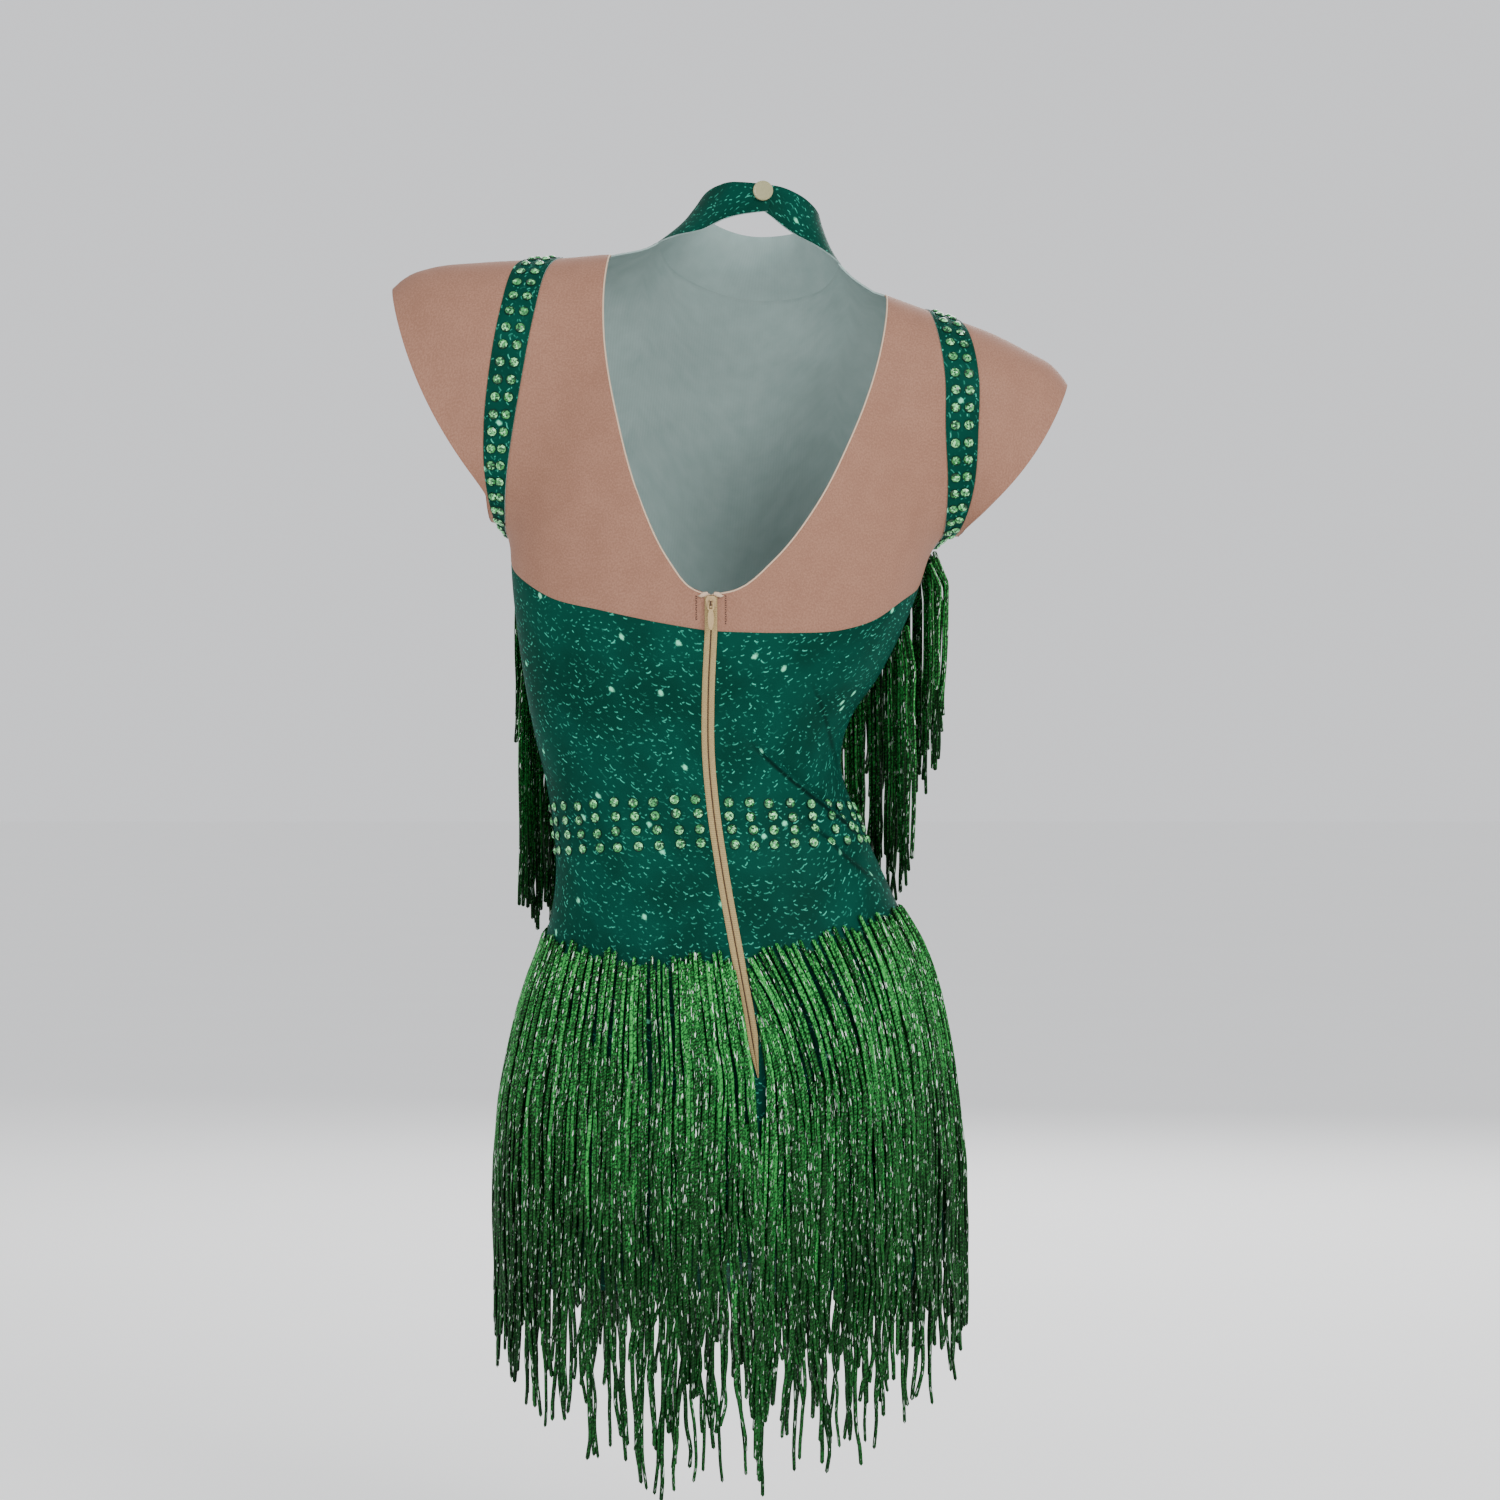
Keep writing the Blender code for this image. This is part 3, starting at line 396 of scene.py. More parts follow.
# Seam lines, drawn on to the form. Columns: x across, y rough depth, z height.
SEAMS: dict[str, Rows] = {
    "armhole_back_left": (
        (123, 0, 17), (132, 20, 8), (141, 42, -25), (148, 52, -64), (153, 52, -100),
        (155, 40, -126), (154, 20, -146), (150, 0, -162),
    ),
    "armhole_back_right": (
        (-134, 0, -22), (-141, 22, -35), (-147, 44, -67), (-147, 52, -100), (-147, 44, -133),
        (-144, 28, -155), (-140, 14, -167), (-135, 0, -172),
    ),
    "armhole_front_left": (
        (123, 0, 17), (127, -24, 0), (130, -46, -42), (134, -52, -82),
        (140, -42, -116), (145, -22, -144), (150, 0, -162),
    ),
    "armhole_front_right": (
        (-134, 0, -22), (-134, -26, -42), (-130, -48, -76), (-130, -52, -110),
        (-132, -40, -142), (-134, -20, -162), (-135, 0, -172),
    ),
    "neck_edge_left": (
        (82, 4, 19), (85, 44, -15), (84, 62, -42), (76, 80, -90),
        (60, 88, -148), (42, 88, -186), (26, 88, -205), (15, 88, -208),
    ),
    "neck_edge_right": (
        (-98, 4, -10), (-98, 26, -26), (-90, 58, -65), (-74, 80, -108),
        (-54, 88, -148), (-25, 88, -186), (-1, 88, -205), (15, 88, -208),
    ),
    "zip_top": ((15, 88, -208), (15, 88, -231)),
    "yoke_foot_left": (
        (15, 88, -231), (45, 84, -226), (86, 68, -217), (116, 48, -209), (140, 20, -191), (149, 0, -179),
    ),
    "yoke_foot_right": (
        (15, 88, -231), (-29, 88, -232), (-68, 76, -230), (-88, 62, -224), (-109, 36, -209), (-123, 0, -197),
    ),
    "side_left": (
        (149, 0, -179), (142, 0, -240), (130, 0, -290), (124, 0, -330), (124, 0, -380),
        (134, 0, -440), (147, 0, -520), (149, 0, -590), (140, 0, -630), (126, 0, -656),
    ),
    "side_right": (
        (-123, 0, -197), (-102, 0, -240), (-78, 0, -290), (-70, 0, -330), (-84, 0, -380),
        (-116, 0, -440), (-136, 0, -520), (-142, 0, -590), (-142, 0, -630), (-134, 0, -656),
    ),
    "zip_back": (
        (15, 88, -231), (17, 77, -275), (17, 72, -307), (14, 69, -343), (8, 72, -384),
        (-2, 88, -439), (-9, 97, -477), (-15, 104, -515),
    ),
    "seat_seam": ((-15, 104, -515), (-16, 108, -570), (-15, 80, -628), (-14, 40, -646), (-13, 0, -648)),
    "inseam_left": ((-13, 0, -648), (-11, 0, -655), (-8, 0, -664)),
    "inseam_right": ((-13, 0, -648), (-16, 0, -655), (-19, 0, -664)),
    "hem_back_left": ((-8, 0, -664), (10, 48, -658), (57, 68, -655), (104, 46, -655), (126, 0, -656)),
    "hem_back_right": ((-19, 0, -664), (-38, 46, -658), (-76, 62, -655), (-118, 40, -655), (-134, 0, -656)),
    "hem_front_left": ((126, 0, -656), (104, -46, -652), (57, -68, -648), (10, -48, -654), (-8, 0, -664)),
    "hem_front_right": (
        (-134, 0, -656), (-118, -40, -652), (-76, -62, -648), (-38, -46, -654), (-19, 0, -664),
    ),
    "neck_front": ((50, 4, 27), (40, -28, 13), (-10, -52, -4), (-56, -32, 0), (-69, 4, 14)),
    "corner_left": ((82, 4, 19), (66, 4, 23), (50, 4, 27)),
    "corner_right": ((-69, 4, 14), (-84, 4, 3), (-98, 4, -10)),
    "collar_foot_left": ((-21, 47, 43), (-3, 46, 40), (22, 38, 32), (38, 22, 30), (50, 4, 27)),
    "collar_foot_right": ((-69, 4, 14), (-53, 26, 23), (-36, 40, 31), (-20, 47, 43), (-11, 47, 49)),
    "collar_top": (
        (-25, 40, 60), (-7, 40, 62), (7, 36, 63), (17, 26, 61), (22, 6, 57), (18, -22, 47), (-10, -42, 38),
        (-42, -32, 39), (-55, -6, 44), (-52, 20, 50), (-42, 34, 56), (-30, 39, 60), (-8, 41, 61),
    ),
}
STEPS: dict[str, int] = {
    "armhole": 10, "neck_edge": 9, "zip_top": 2, "underarm": 1, "shoulder": 3, "yoke_foot": 8,
    "side": 16, "zip_back": 10, "seat_seam": 5, "inseam": 1, "hem": 8, "corner": 1, "neck_front": 10,
    "collar_foot": 6, "collar_top": 22,
}


@dataclass
class Pattern:
    """The lines along which the cloth is cut and sewn, drawn on the worn form."""

    form: WornForm
    fine: int = FINE
    band_half: float = 11
    band_underarm: float = 5
    relax_rounds: int = 12
    lines: dict[str, Array] = field(default_factory=dict)

    def __post_init__(self) -> None:
        """Draws every line, with those that start at an armhole band's edge."""
        for name, rows in SEAMS.items():
            steps = next(STEPS[kind] for kind in STEPS if name.startswith(kind))
            self.lines[name] = self.seam(rows, steps)
        half_way = STEPS["armhole"] * self.fine
        for side in Side:
            end = "_" + side.value
            edge = self.armhole_rings(side)[0]
            self.lines["yoke_armhole" + end] = edge[:half_way + 1]
            self.lines["front_armhole" + end] = edge[half_way:][::-1]
            ends = (tuple(self.lines["neck_edge" + end][0]), tuple(edge[0]))
            self.lines["shoulder" + end] = self.seam(ends, STEPS["shoulder"])
            self.lines["wide_shoulder" + end] = self.seam(ends, STEPS["yoke_foot"])
            ends = (tuple(edge[half_way]), tuple(self.lines["side" + end][0]))
            self.lines["underarm" + end] = self.seam(ends, STEPS["underarm"])

    def seam(self, rows: Rows, steps: int) -> Array:
        """A seam line through these rows, on the form, in fine steps."""
        points = self.form.settle(drawn(rows, 4 * steps), (0.08, 1, 0.08))
        return self.form.settle(evenly(points, np.linspace(0, 1, steps * self.fine + 1)))

    def armhole_rings(self, side: Side) -> tuple[Array, Array, Array]:
        """Three closed lines round an armhole: the band's edge on the body, its middle, its other edge.

        Args:
            side: The armhole's side.

        Returns:
            The three lines.
        """
        end = "_" + side.value
        middle = joined(self.lines["armhole_back" + end], self.lines["armhole_front" + end][::-1])
        ring = middle[:-1]
        ahead = np.roll(ring, -self.fine, axis=0) - np.roll(ring, self.fine, axis=0)
        across = unit(np.cross(ahead, self.form.outward(ring)))
        across = np.vstack([across, across[:1]]) * side.way
        share = (1 - np.cos(np.linspace(0, 2 * math.pi, len(middle)))) / 2
        half = (self.band_half + (self.band_underarm - self.band_half) * share**4)[:, None]
        return self.form.settle(middle - half * across), middle, self.form.settle(middle + half * across)

    def panel(self, first: Array, last: Array, top: Array, foot: Array, bulge: tuple[float, ...]) -> Array:
        """The fine grid between four seam lines.

        Args:
            first: The seam line down one side.
            last: The seam line down the other side.
            top: The seam line across the top.
            foot: The seam line across the foot.
            bulge: How far the grid's middle starts off the ruled one, before it settles.

        Returns:
            Points by row and column, on the form.
        """
        a, b, c, d = (line[::self.fine] for line in (first, last, top, foot))
        v = np.linspace(0, 1, len(a))[:, None, None]
        u = np.linspace(0, 1, len(d))[None, :, None]
        ruled = (1 - u) * a[:, None] + u * b[:, None] + (1 - v) * c[None] + v * d[None]
        corners = (1 - u) * (1 - v) * a[0] + u * (1 - v) * b[0] + (1 - u) * v * a[-1] + u * v * b[-1]
        swell = 4 * u * (1 - u) * np.minimum(1, 5 * np.minimum(v, 1 - v))
        grid = self.form.settle(ruled - corners + swell * np.array(bulge, float))
        grid[:, 0], grid[:, -1], grid[0], grid[-1] = a, b, c, d
        for _ in range(self.relax_rounds):
            mean = (grid[:-2, 1:-1] + grid[2:, 1:-1] + grid[1:-1, :-2] + grid[1:-1, 2:]) / 4
            grid[1:-1, 1:-1] = self.form.settle(mean)
        grid = refined(grid, self.fine)
        for edge, other in ((first, last), (top, foot)):
            fade = np.clip(1 - np.arange(grid.shape[1]) / (2.0 * self.fine), 0, 1)[None, :, None]
            grid = grid + fade * (edge[:, None] - grid[:, :1]) + fade[:, ::-1] * (other[:, None] - grid[:, -1:])
            grid = grid.transpose(1, 0, 2)
        grid = self.form.settle(grid)
        grid[:, 0], grid[:, -1], grid[0], grid[-1] = first, last, top, foot
        return grid


@dataclass(frozen=True)
class Crease:
    """One soft crease in worn cloth: a ridge with a trough along its upper side, or a trough alone."""

    start: tuple[float, float]
    end: tuple[float, float]
    height: float
    half_width: float
    trough: float = 0.0
    drop: float = 0.6
    wander: float = 1.4
    waves: float = 5.0

    def lift(self, p: Array) -> Array:
        """How far it lifts the cloth at points, seen along Y.

        Args:
            p: Points, of any array shape.

        Returns:
            The lift in millimetres at each.
        """
        along = np.array(self.end) - np.array(self.start)
        length = float(np.linalg.norm(along))
        along = along / length
        offset = p[..., [0, 2]] - np.array(self.start)
        run = (offset @ along) / length
        away = offset @ np.array([-along[1], along[0]]) * np.sign(along[0])
        away = away + self.wander * np.sin(self.waves * run + self.start[0])
        width = np.where(away > 0, self.half_width * self.drop, self.half_width)
        body = np.exp(-(away / width) ** 2)
        groove = np.exp(-((away - 1.5 * self.drop * self.half_width) / (0.2 * self.half_width)) ** 2)
        fade = np.clip(5.5 * run * (1 - run), 0, 1) ** 0.7
        return (self.height * body - self.trough * groove) * fade


BACK_CREASES: tuple[Crease, ...] = (
    Crease((-4, -299), (-90, -374), 4.2, 11, 2.2, 0.22),
    Crease((-40, -357), (-92, -393), 2.8, 10, 1.3, 0.3),
    Crease((-46, -262), (-70, -326), -2.6, 9, 0.0, 1.0),
    Crease((-4, -262), (-30, -296), 0.7, 6),
    Crease((30, -318), (66, -309), 0.8, 7),
    Crease((84, -300), (122, -322), 1.0, 7, 0.4),
    Crease((-74, -150), (-112, -196), 1.0, 8),
    Crease((92, -140), (132, -172), 1.1, 8),
    Crease((40, -120), (96, -186), 0.7, 11),
    Crease((-30, -610), (-92, -632), 1.5, 8, 0.5),
    Crease((4, -616), (74, -634), 1.6, 9, 0.5),
)
FRONT_CREASES: tuple[Crease, ...] = (
    Crease((-72, -352), (-6, -318), 2.4, 10, 0.8),
    Crease((-80, -378), (-28, -360), 1.7, 8, 0.5),
    Crease((58, -322), (116, -340), 1.3, 8),
    Crease((-96, -205), (-120, -178), 1.3, 8),
    Crease((108, -196), (138, -166), 1.4, 8),
    Crease((-58, -96), (-104, -150), 1.0, 12),
    Crease((44, -84), (104, -132), 1.0, 12),
    Crease((-26, -632), (-84, -604), 1.6, 9, 0.5),
    Crease((0, -634), (66, -600), 1.5, 9, 0.5),
)


def creased(p: Array) -> Array:
    """How far the creases lift the cloth at these points.

    Args:
        p: Points, of any array shape.

    Returns:
        The lift at each.
    """
    back = sum(crease.lift(p) for crease in BACK_CREASES)
    front = sum(crease.lift(p) for crease in FRONT_CREASES)
    blend = np.clip(p[..., 1] / 30, -1, 1)
    return back * np.maximum(blend, 0) + front * np.maximum(-blend, 0)


class Graph:
    """Builds the nodes of one material."""

    def __init__(self, name: str, roughness: float, **constants: float | Colour) -> None:
        """Starts a material with its plain values on the shader.

        Args:
            name: The material's name.
            roughness: Its roughness.
            **constants: Other shader inputs, with underscores for spaces.
        """
        self.material = bpy.data.materials.new(name)
        self.material.use_nodes = True
        self.tree = self.material.node_tree
        self.shader = self.tree.nodes["Principled BSDF"]
        self.shader.inputs["Roughness"].default_value = roughness
        for key, value in constants.items():
            self.shader.inputs[key.replace("_", " ")].default_value = value

    def add(self, kind: str, feeds: dict, **settings: str | float | bool) -> bpy.types.Node:
        """Adds a node and feeds its inputs with sockets or plain values.

        Args:
            kind: Its type, without the ShaderNode in front.
            feeds: What goes into its inputs.
            **settings: Its settings.

        Returns:
            The node.
        """
        node = self.tree.nodes.new("ShaderNode" + kind)
        for key, value in settings.items():
            setattr(node, key, value)
        for key, value in feeds.items():
            self.feed(node.inputs[key], value)
        return node

    def feed(self, socket: bpy.types.NodeSocket, value: object) -> None:
        """Links a socket into an input, or sets the input's value.

        Args:
            socket: The input.
            value: A socket or a plain value.
        """
        if isinstance(value, bpy.types.NodeSocket):
            self.tree.links.new(value, socket)
        else:
            socket.default_value = value

    def math(self, operation: str, a: object, b: object = 0.0, clamp: bool = False) -> bpy.types.NodeSocket:
        """One sum on two numbers."""
        return self.add("Math", {0: a, 1: b}, operation=operation, use_clamp=clamp).outputs[0]

    def times(self, a: object, b: object) -> bpy.types.NodeSocket:
        """The product of two numbers."""
        return self.math("MULTIPLY", a, b)

    def plus(self, a: object, b: object, clamp: bool = False) -> bpy.types.NodeSocket:
        """The sum of two numbers."""
        return self.math("ADD", a, b, clamp)

    def minus(self, a: object, b: object, clamp: bool = False) -> bpy.types.NodeSocket:
        """The difference of two numbers."""
        return self.math("SUBTRACT", a, b, clamp)

    def step(
        self, value: object, start: float, end: float, low: float = 0.0, high: float = 1.0
    ) -> bpy.types.NodeSocket:
        """A smooth step from low at start to high at end."""
        feeds = {0: value, 1: start, 2: end, 3: low, 4: high}
        return self.add("MapRange", feeds, interpolation_type="SMOOTHSTEP").outputs[0]

    def mix(self, share: object, low: object, high: object) -> bpy.types.NodeSocket:
        """A blend of two colours."""
        return self.add("Mix", {0: share, 6: low, 7: high}, data_type="RGBA").outputs[2]

    def noise(self, where: object, scale: float, detail: float = 2.0) -> bpy.types.NodeSocket:
        """Noise from 0 to 1."""
        return self.add("TexNoise", {"Vector": where, "Scale": scale, "Detail": detail}).outputs[0]

    def map_place(self) -> bpy.types.NodeSocket:
        """The piece's own map, in metres of cloth."""
        return self.add("TexCoord", {}).outputs["UV"]

    def bump(self, height: object, strength: float, distance: float) -> None:
        """Bumps the surface by a height."""
        feeds = {"Height": height, "Strength": strength, "Distance": distance}
        self.feed(self.shader.inputs["Normal"], self.add("Bump", feeds).outputs[0])

    def colour(self, value: object) -> None:
        """Sets or links the base colour."""
        self.feed(self.shader.inputs["Base Color"], value)


@dataclass(frozen=True)
class PrintedJersey:
    """Dark teal stretch jersey with short pale dashes at all angles and a few mint dots, with painted shade along
    three sharp fold lines at the back.
    """

    name: str = "printed_jersey"
    deep: Colour = (0.0002, 0.034, 0.022, 1)
    light: Colour = (0.0003, 0.051, 0.034, 1)
    dash: Colour = (0.050, 0.40, 0.27, 1)
    mint: Colour = (0.20, 0.86, 0.52, 1)
    # Painted shade, laid along the sharp fold lines at the back.
    shade: Colour = (0.0001, 0.008, 0.006, 1)
    roughness: float = 0.55
    # cell, half length and width in metres, the share left blank, and how strong the layer is
    dashes: Rows = ((0.0042, 0.0009, 0.00052, 0.10, 0.65), (0.0070, 0.0015, 0.00058, 0.15, 0.80))
    dash_swing: float = 1.9
    dash_bow: float = 120.0
    dot_cell: float = 0.046
    dot_ragged: float = 0.003
    fold_waves: float = 5.0
    fold_wander: float = 0.0014
    fold_drop: float = 0.0016
    # x and z of each end in metres, and how dark the painted shade along the fold is
    painted_fold_shades: Rows = (
        (-0.006, -0.300, -0.090, -0.374, 0.85), (-0.046, -0.356, -0.092, -0.393, 0.6),
        (-0.047, -0.262, -0.071, -0.328, 0.5),
    )

    def _dashes(self, g: Graph, where: object, row: tuple[float, ...]) -> bpy.types.NodeSocket:
        """One layer of dashes, one to a cell of its own size.

        Args:
            g: The graph to add to.
            where: The place on the piece's map.
            row: The layer's row of the dashes.

        Returns:
            The share of the dash colour.
        """
        cell, length, width, skip, strength = row
        cells = g.add("TexVoronoi", {"Vector": where, "Scale": 1 / cell}, voronoi_dimensions="2D")
        local = g.add("VectorMath", {0: where, 1: cells.outputs["Position"]}, operation="SUBTRACT").outputs[0]
        chance = g.add("SeparateColor", {0: cells.outputs["Color"]}).outputs
        angle = g.times(g.minus(chance[0], 0.5), self.dash_swing)
        turned = g.add("VectorRotate", {"Vector": local, "Angle": angle}, rotation_type="Z_AXIS").outputs[0]
        axes = g.add("SeparateXYZ", {0: turned}).outputs
        bow = g.times(g.math("POWER", g.math("ABSOLUTE", axes[0]), 2.0), self.dash_bow)
        away = g.math("ABSOLUTE", g.minus(axes[1], bow))
        reach = g.times(g.plus(chance[1], 0.35), length)
        ends = g.step(g.minus(g.math("ABSOLUTE", axes[0]), reach), -0.4 * width, 0.6 * width, 1, 0)
        sides = g.step(away, 0.35 * width, width, 1, 0)
        seen = g.step(chance[2], skip, 1.0, 0.0, 1.25)
        return g.times(g.times(g.times(ends, sides), seen), strength)

    def _painted_fold_shade(self, g: Graph, axes: object, row: tuple[float, ...]) -> bpy.types.NodeSocket:
        """Painted shade: the soft dark line along one sharp fold at the back.

        Args:
            g: The graph to add to.
            axes: The place's three coordinates.
            row: The fold's ends and the darkness of its painted shade.

        Returns:
            The share of painted shade.
        """
        x, z, end_x, end_z, dark = row
        length = math.hypot(end_x - x, end_z - z)
        along = ((end_x - x) / length, (end_z - z) / length)
        across, up = g.minus(axes[0], x), g.minus(axes[2], z)
        run = g.plus(g.times(across, along[0] / length), g.times(up, along[1] / length))
        away = g.minus(g.times(across, along[1]), g.times(up, along[0]))
        wave = g.math("SINE", g.plus(g.times(run, self.fold_waves), x * 1000))
        level = g.minus(g.plus(away, g.times(wave, self.fold_wander)), self.fold_drop)
        body = g.step(g.math("ABSOLUTE", level), 0.0002, 0.0024, dark, 0.0)
        ends = g.times(g.step(run, 0.0, 0.22), g.step(run, 0.75, 1.0, 1.0, 0.0))
        return g.times(g.times(body, ends), g.step(axes[1], 0.005, 0.03))

    def make(self) -> bpy.types.Material:
        """Builds the material.

        Returns:
            The material.
        """
        g = Graph(self.name, self.roughness, Specular_IOR_Level=0.025)
        where = g.map_place()
        dots = g.add("TexVoronoi", {"Vector": where, "Scale": 1 / self.dot_cell}, voronoi_dimensions="2D")
        near = g.times(dots.outputs["Distance"], self.dot_cell)
        near = g.plus(near, g.times(g.minus(g.noise(where, 420), 0.5), self.dot_ragged))
        core = g.step(near, 0.0007, 0.0025, 1, 0)
        printed = g.mix(g.step(g.noise(where, 22), 0.32, 0.68), self.deep, self.light)
        patch = g.step(g.noise(where, 130, 2), 0.30, 0.62, 0.25, 1.0)
        for row in self.dashes:
            printed = g.mix(g.times(self._dashes(g, where, row), patch), printed, self.dash)
        printed = g.mix(g.times(core, 0.85), printed, self.mint)
        axes = g.add("SeparateXYZ", {0: g.add("TexCoord", {}).outputs["Object"]}).outputs
        # Painted shade along the sharp fold lines at the back, placed on Object coordinates.
        for row in self.painted_fold_shades:
            printed = g.mix(self._painted_fold_shade(g, axes, row), printed, self.shade)
        g.colour(printed)
        g.bump(g.noise(where, 1500, 1), 0.12, 0.0003)
        return g.material


@dataclass(frozen=True)
class WrongSide:
    """The unprinted inner side of the jersey, pale grey green with its knit ribs."""

    name: str = "wrong_side"
    low: Colour = (0.25, 0.35, 0.33, 1)
    high: Colour = (0.36, 0.47, 0.45, 1)

    def make(self) -> bpy.types.Material:
        """Builds the material.

        Returns:
            The material.
        """
        g = Graph(self.name, 0.75, Specular_IOR_Level=0.15)
        where = g.map_place()
        ribs = g.add("TexWave", {"Vector": where, "Scale": 160.0, "Distortion": 0.6}, bands_direction="X")
        g.colour(g.mix(g.noise(where, 90, 3), self.low, self.high))
        g.bump(ribs.outputs["Fac"], 0.12, 0.0003)
        return g.material


@dataclass(frozen=True)
class NudeMesh:
    """Fine nude power mesh, faintly grained."""

    name: str = "nude_mesh"
    low: Colour = (0.260, 0.128, 0.085, 1)
    high: Colour = (0.345, 0.180, 0.122, 1)
    pores: float = 1050

    def make(self) -> bpy.types.Material:
        """Builds the material.

        Returns:
            The material.
        """
        g = Graph(self.name, 0.62, Specular_IOR_Level=0.12)
        where = g.map_place()
        cells = g.add("TexVoronoi", {"Vector": where, "Scale": self.pores, "Randomness": 0.35})
        fine, broad = g.noise(where, 800, 2), g.noise(where, 60)
        grain = g.plus(g.times(fine, 0.8), g.times(broad, 0.2))
        pore = g.step(cells.outputs["Distance"], 0.1, 0.55)
        share = g.minus(g.step(grain, 0.3, 0.7), g.times(pore, 0.22), True)
        g.colour(g.mix(share, self.low, self.high))
        g.bump(cells.outputs["Distance"], 0.10, 0.0002)
        return g.material


@dataclass(frozen=True)
class FringeYarn:
    """Twisted green chainette on a map of turns round and metres along, with bright tinsel flecks painted in as
    glints, painted highlights, and painted shade on each strand's sides and towards its lower end.
    """

    name: str = "fringe_yarn"
    # Painted shade on the sides of each strand, where the strands shade one another.
    gap: Colour = (0.0004, 0.005, 0.001, 1)
    deep: Colour = (0.0010, 0.016, 0.003, 1)
    body: Colour = (0.009, 0.095, 0.017, 1)
    # Painted highlights on the yarn.
    light: Colour = (0.052, 0.40, 0.080, 1)
    # Flecks of tinsel thread, painted near white as glints.
    tinsel_glint: Colour = (0.88, 1.0, 0.90, 1)
    pitch: float = 0.0021
    # How far painted shade darkens the strands towards their lower ends, and how much of it falls on the tinsel
    # flecks.
    painted_shade_down: float = 0.80
    painted_shade_on_tinsel: float = 0.35

    def make(self) -> bpy.types.Material:
        """Builds the material.

        Returns:
            The material.
        """
        g = Graph(self.name, 0.45, Specular_IOR_Level=0.08)
        where = g.map_place()
        axes = g.add("SeparateXYZ", {0: where}).outputs
        twist = g.plus(g.math("DIVIDE", axes[1], self.pitch), g.times(axes[0], 2.0))
        ply = g.times(g.plus(g.math("SINE", g.times(twist, TURN)), 1.0), 0.5)
        strand = g.math("FLOOR", axes[0])
        own = g.add("TexWhiteNoise", {1: strand}, noise_dimensions="1D").outputs[0]
        # Low on each strand's sides, high on its outer and inner faces; the sides get painted shade.
        facing = g.math("ABSOLUTE", g.math("SINE", g.times(axes[0], TURN)))
        layer = g.times(strand, 7.7)

        def speck(turns: float, metres: float, shift: float) -> bpy.types.NodeSocket:
            """Noise over the yarn.

            Args:
                turns: Its cells to the turn.
                metres: Its cells to the metre.
                shift: What sets it apart from the others.

            Returns:
                The noise from 0 to 1.
            """
            round_it = g.plus(g.times(axes[0], turns), g.times(axes[1], metres / 2))
            feeds = {0: round_it, 1: g.times(axes[1], metres), 2: g.plus(layer, shift)}
            return g.noise(g.add("CombineXYZ", feeds).outputs[0], 1.0, 1)

        # Tinsel flecks, painted as bright glints.
        fleck = g.step(speck(12.0, 160, 0), 0.680, 0.695)
        grain = speck(7.0, 720, 3.3)
        zone = speck(1.0, 16, 5.1)
        yarn = g.mix(g.step(g.plus(g.times(ply, 0.5), grain), 0.45, 0.95), self.deep, self.body)
        # Painted highlights: lighter green where the grain, each strand's own share and broad zones add up.
        glow = g.plus(g.times(own, 0.18), g.times(zone, 0.5))
        yarn = g.mix(g.step(g.plus(grain, glow), 0.76, 1.04), yarn, self.light)
        # Painted shade: the strands darken from 10 mm to 190 mm below their roots.
        painted_shade_down = g.step(axes[1], 0.01, 0.19, 0.0, self.painted_shade_down)
        yarn = g.mix(painted_shade_down, yarn, self.deep)
        # Painted shade on the strand's sides.
        yarn = g.mix(g.step(facing, 0.10, 0.80, 0.05, 1.0), self.gap, yarn)
        shown = g.times(fleck, g.minus(1.0, g.times(painted_shade_down, self.painted_shade_on_tinsel)))
        g.colour(g.mix(shown, yarn, self.tinsel_glint))
        g.bump(ply, 0.5, 0.0004)
        return g.material


@dataclass(frozen=True)
class CutStone:
    """Pale green glass stones. Every face of a stone has its own random share of painted light and shade, standing
    for refraction and glints, in a face attribute.
    """

    name: str = "cut_stone"
    # Painted shade on the dark faces and painted glints on the bright ones; body is the stone's green.
    dark: Colour = (0.003, 0.045, 0.016, 1)
    body: Colour = (0.045, 0.32, 0.085, 1)
    glint: Colour = (0.33, 0.92, 0.40, 1)

    def make(self) -> bpy.types.Material:
        """Builds the material.

        Returns:
            The material.
        """
        g = Graph(self.name, 0.12, Specular_IOR_Level=0.45)
        painted_facet_light = g.add("Attribute", {}, attribute_name="painted_facet_light").outputs["Fac"]
        low = g.mix(g.step(painted_facet_light, 0.18, 0.5), self.dark, self.body)
        g.colour(g.mix(g.step(painted_facet_light, 0.6, 0.97), low, self.glint))
        return g.material


@dataclass(frozen=True)
class Plain:
    """A small part's finish with a slight change of tone, such as thread, tape, enamel or plastic."""

    name: str
    low: Colour
    high: Colour
    roughness: float = 0.5
    scale: float = 400
    shine: float = 0.15
    coat: float = 0.0
    ribs: float = 0.0

    def make(self) -> bpy.types.Material:
        """Builds the material.

        Returns:
            The material.
        """
        g = Graph(self.name, self.roughness, Specular_IOR_Level=self.shine, Coat_Weight=self.coat)
        coords = g.add("TexCoord", {}).outputs
        grain = g.noise(coords["Object"], self.scale, 3)
        if self.ribs:
            along = g.add("SeparateXYZ", {0: coords["UV"]}).outputs[1]
            rib = g.math("SINE", g.times(along, TURN / self.ribs))
            grain = g.plus(g.times(grain, 0.7), g.times(rib, 0.22), True)
            g.bump(rib, 0.5, 0.0003)
        else:
            g.bump(grain, 0.06, 0.0003)
        g.colour(g.mix(grain, self.low, self.high))
        return g.material


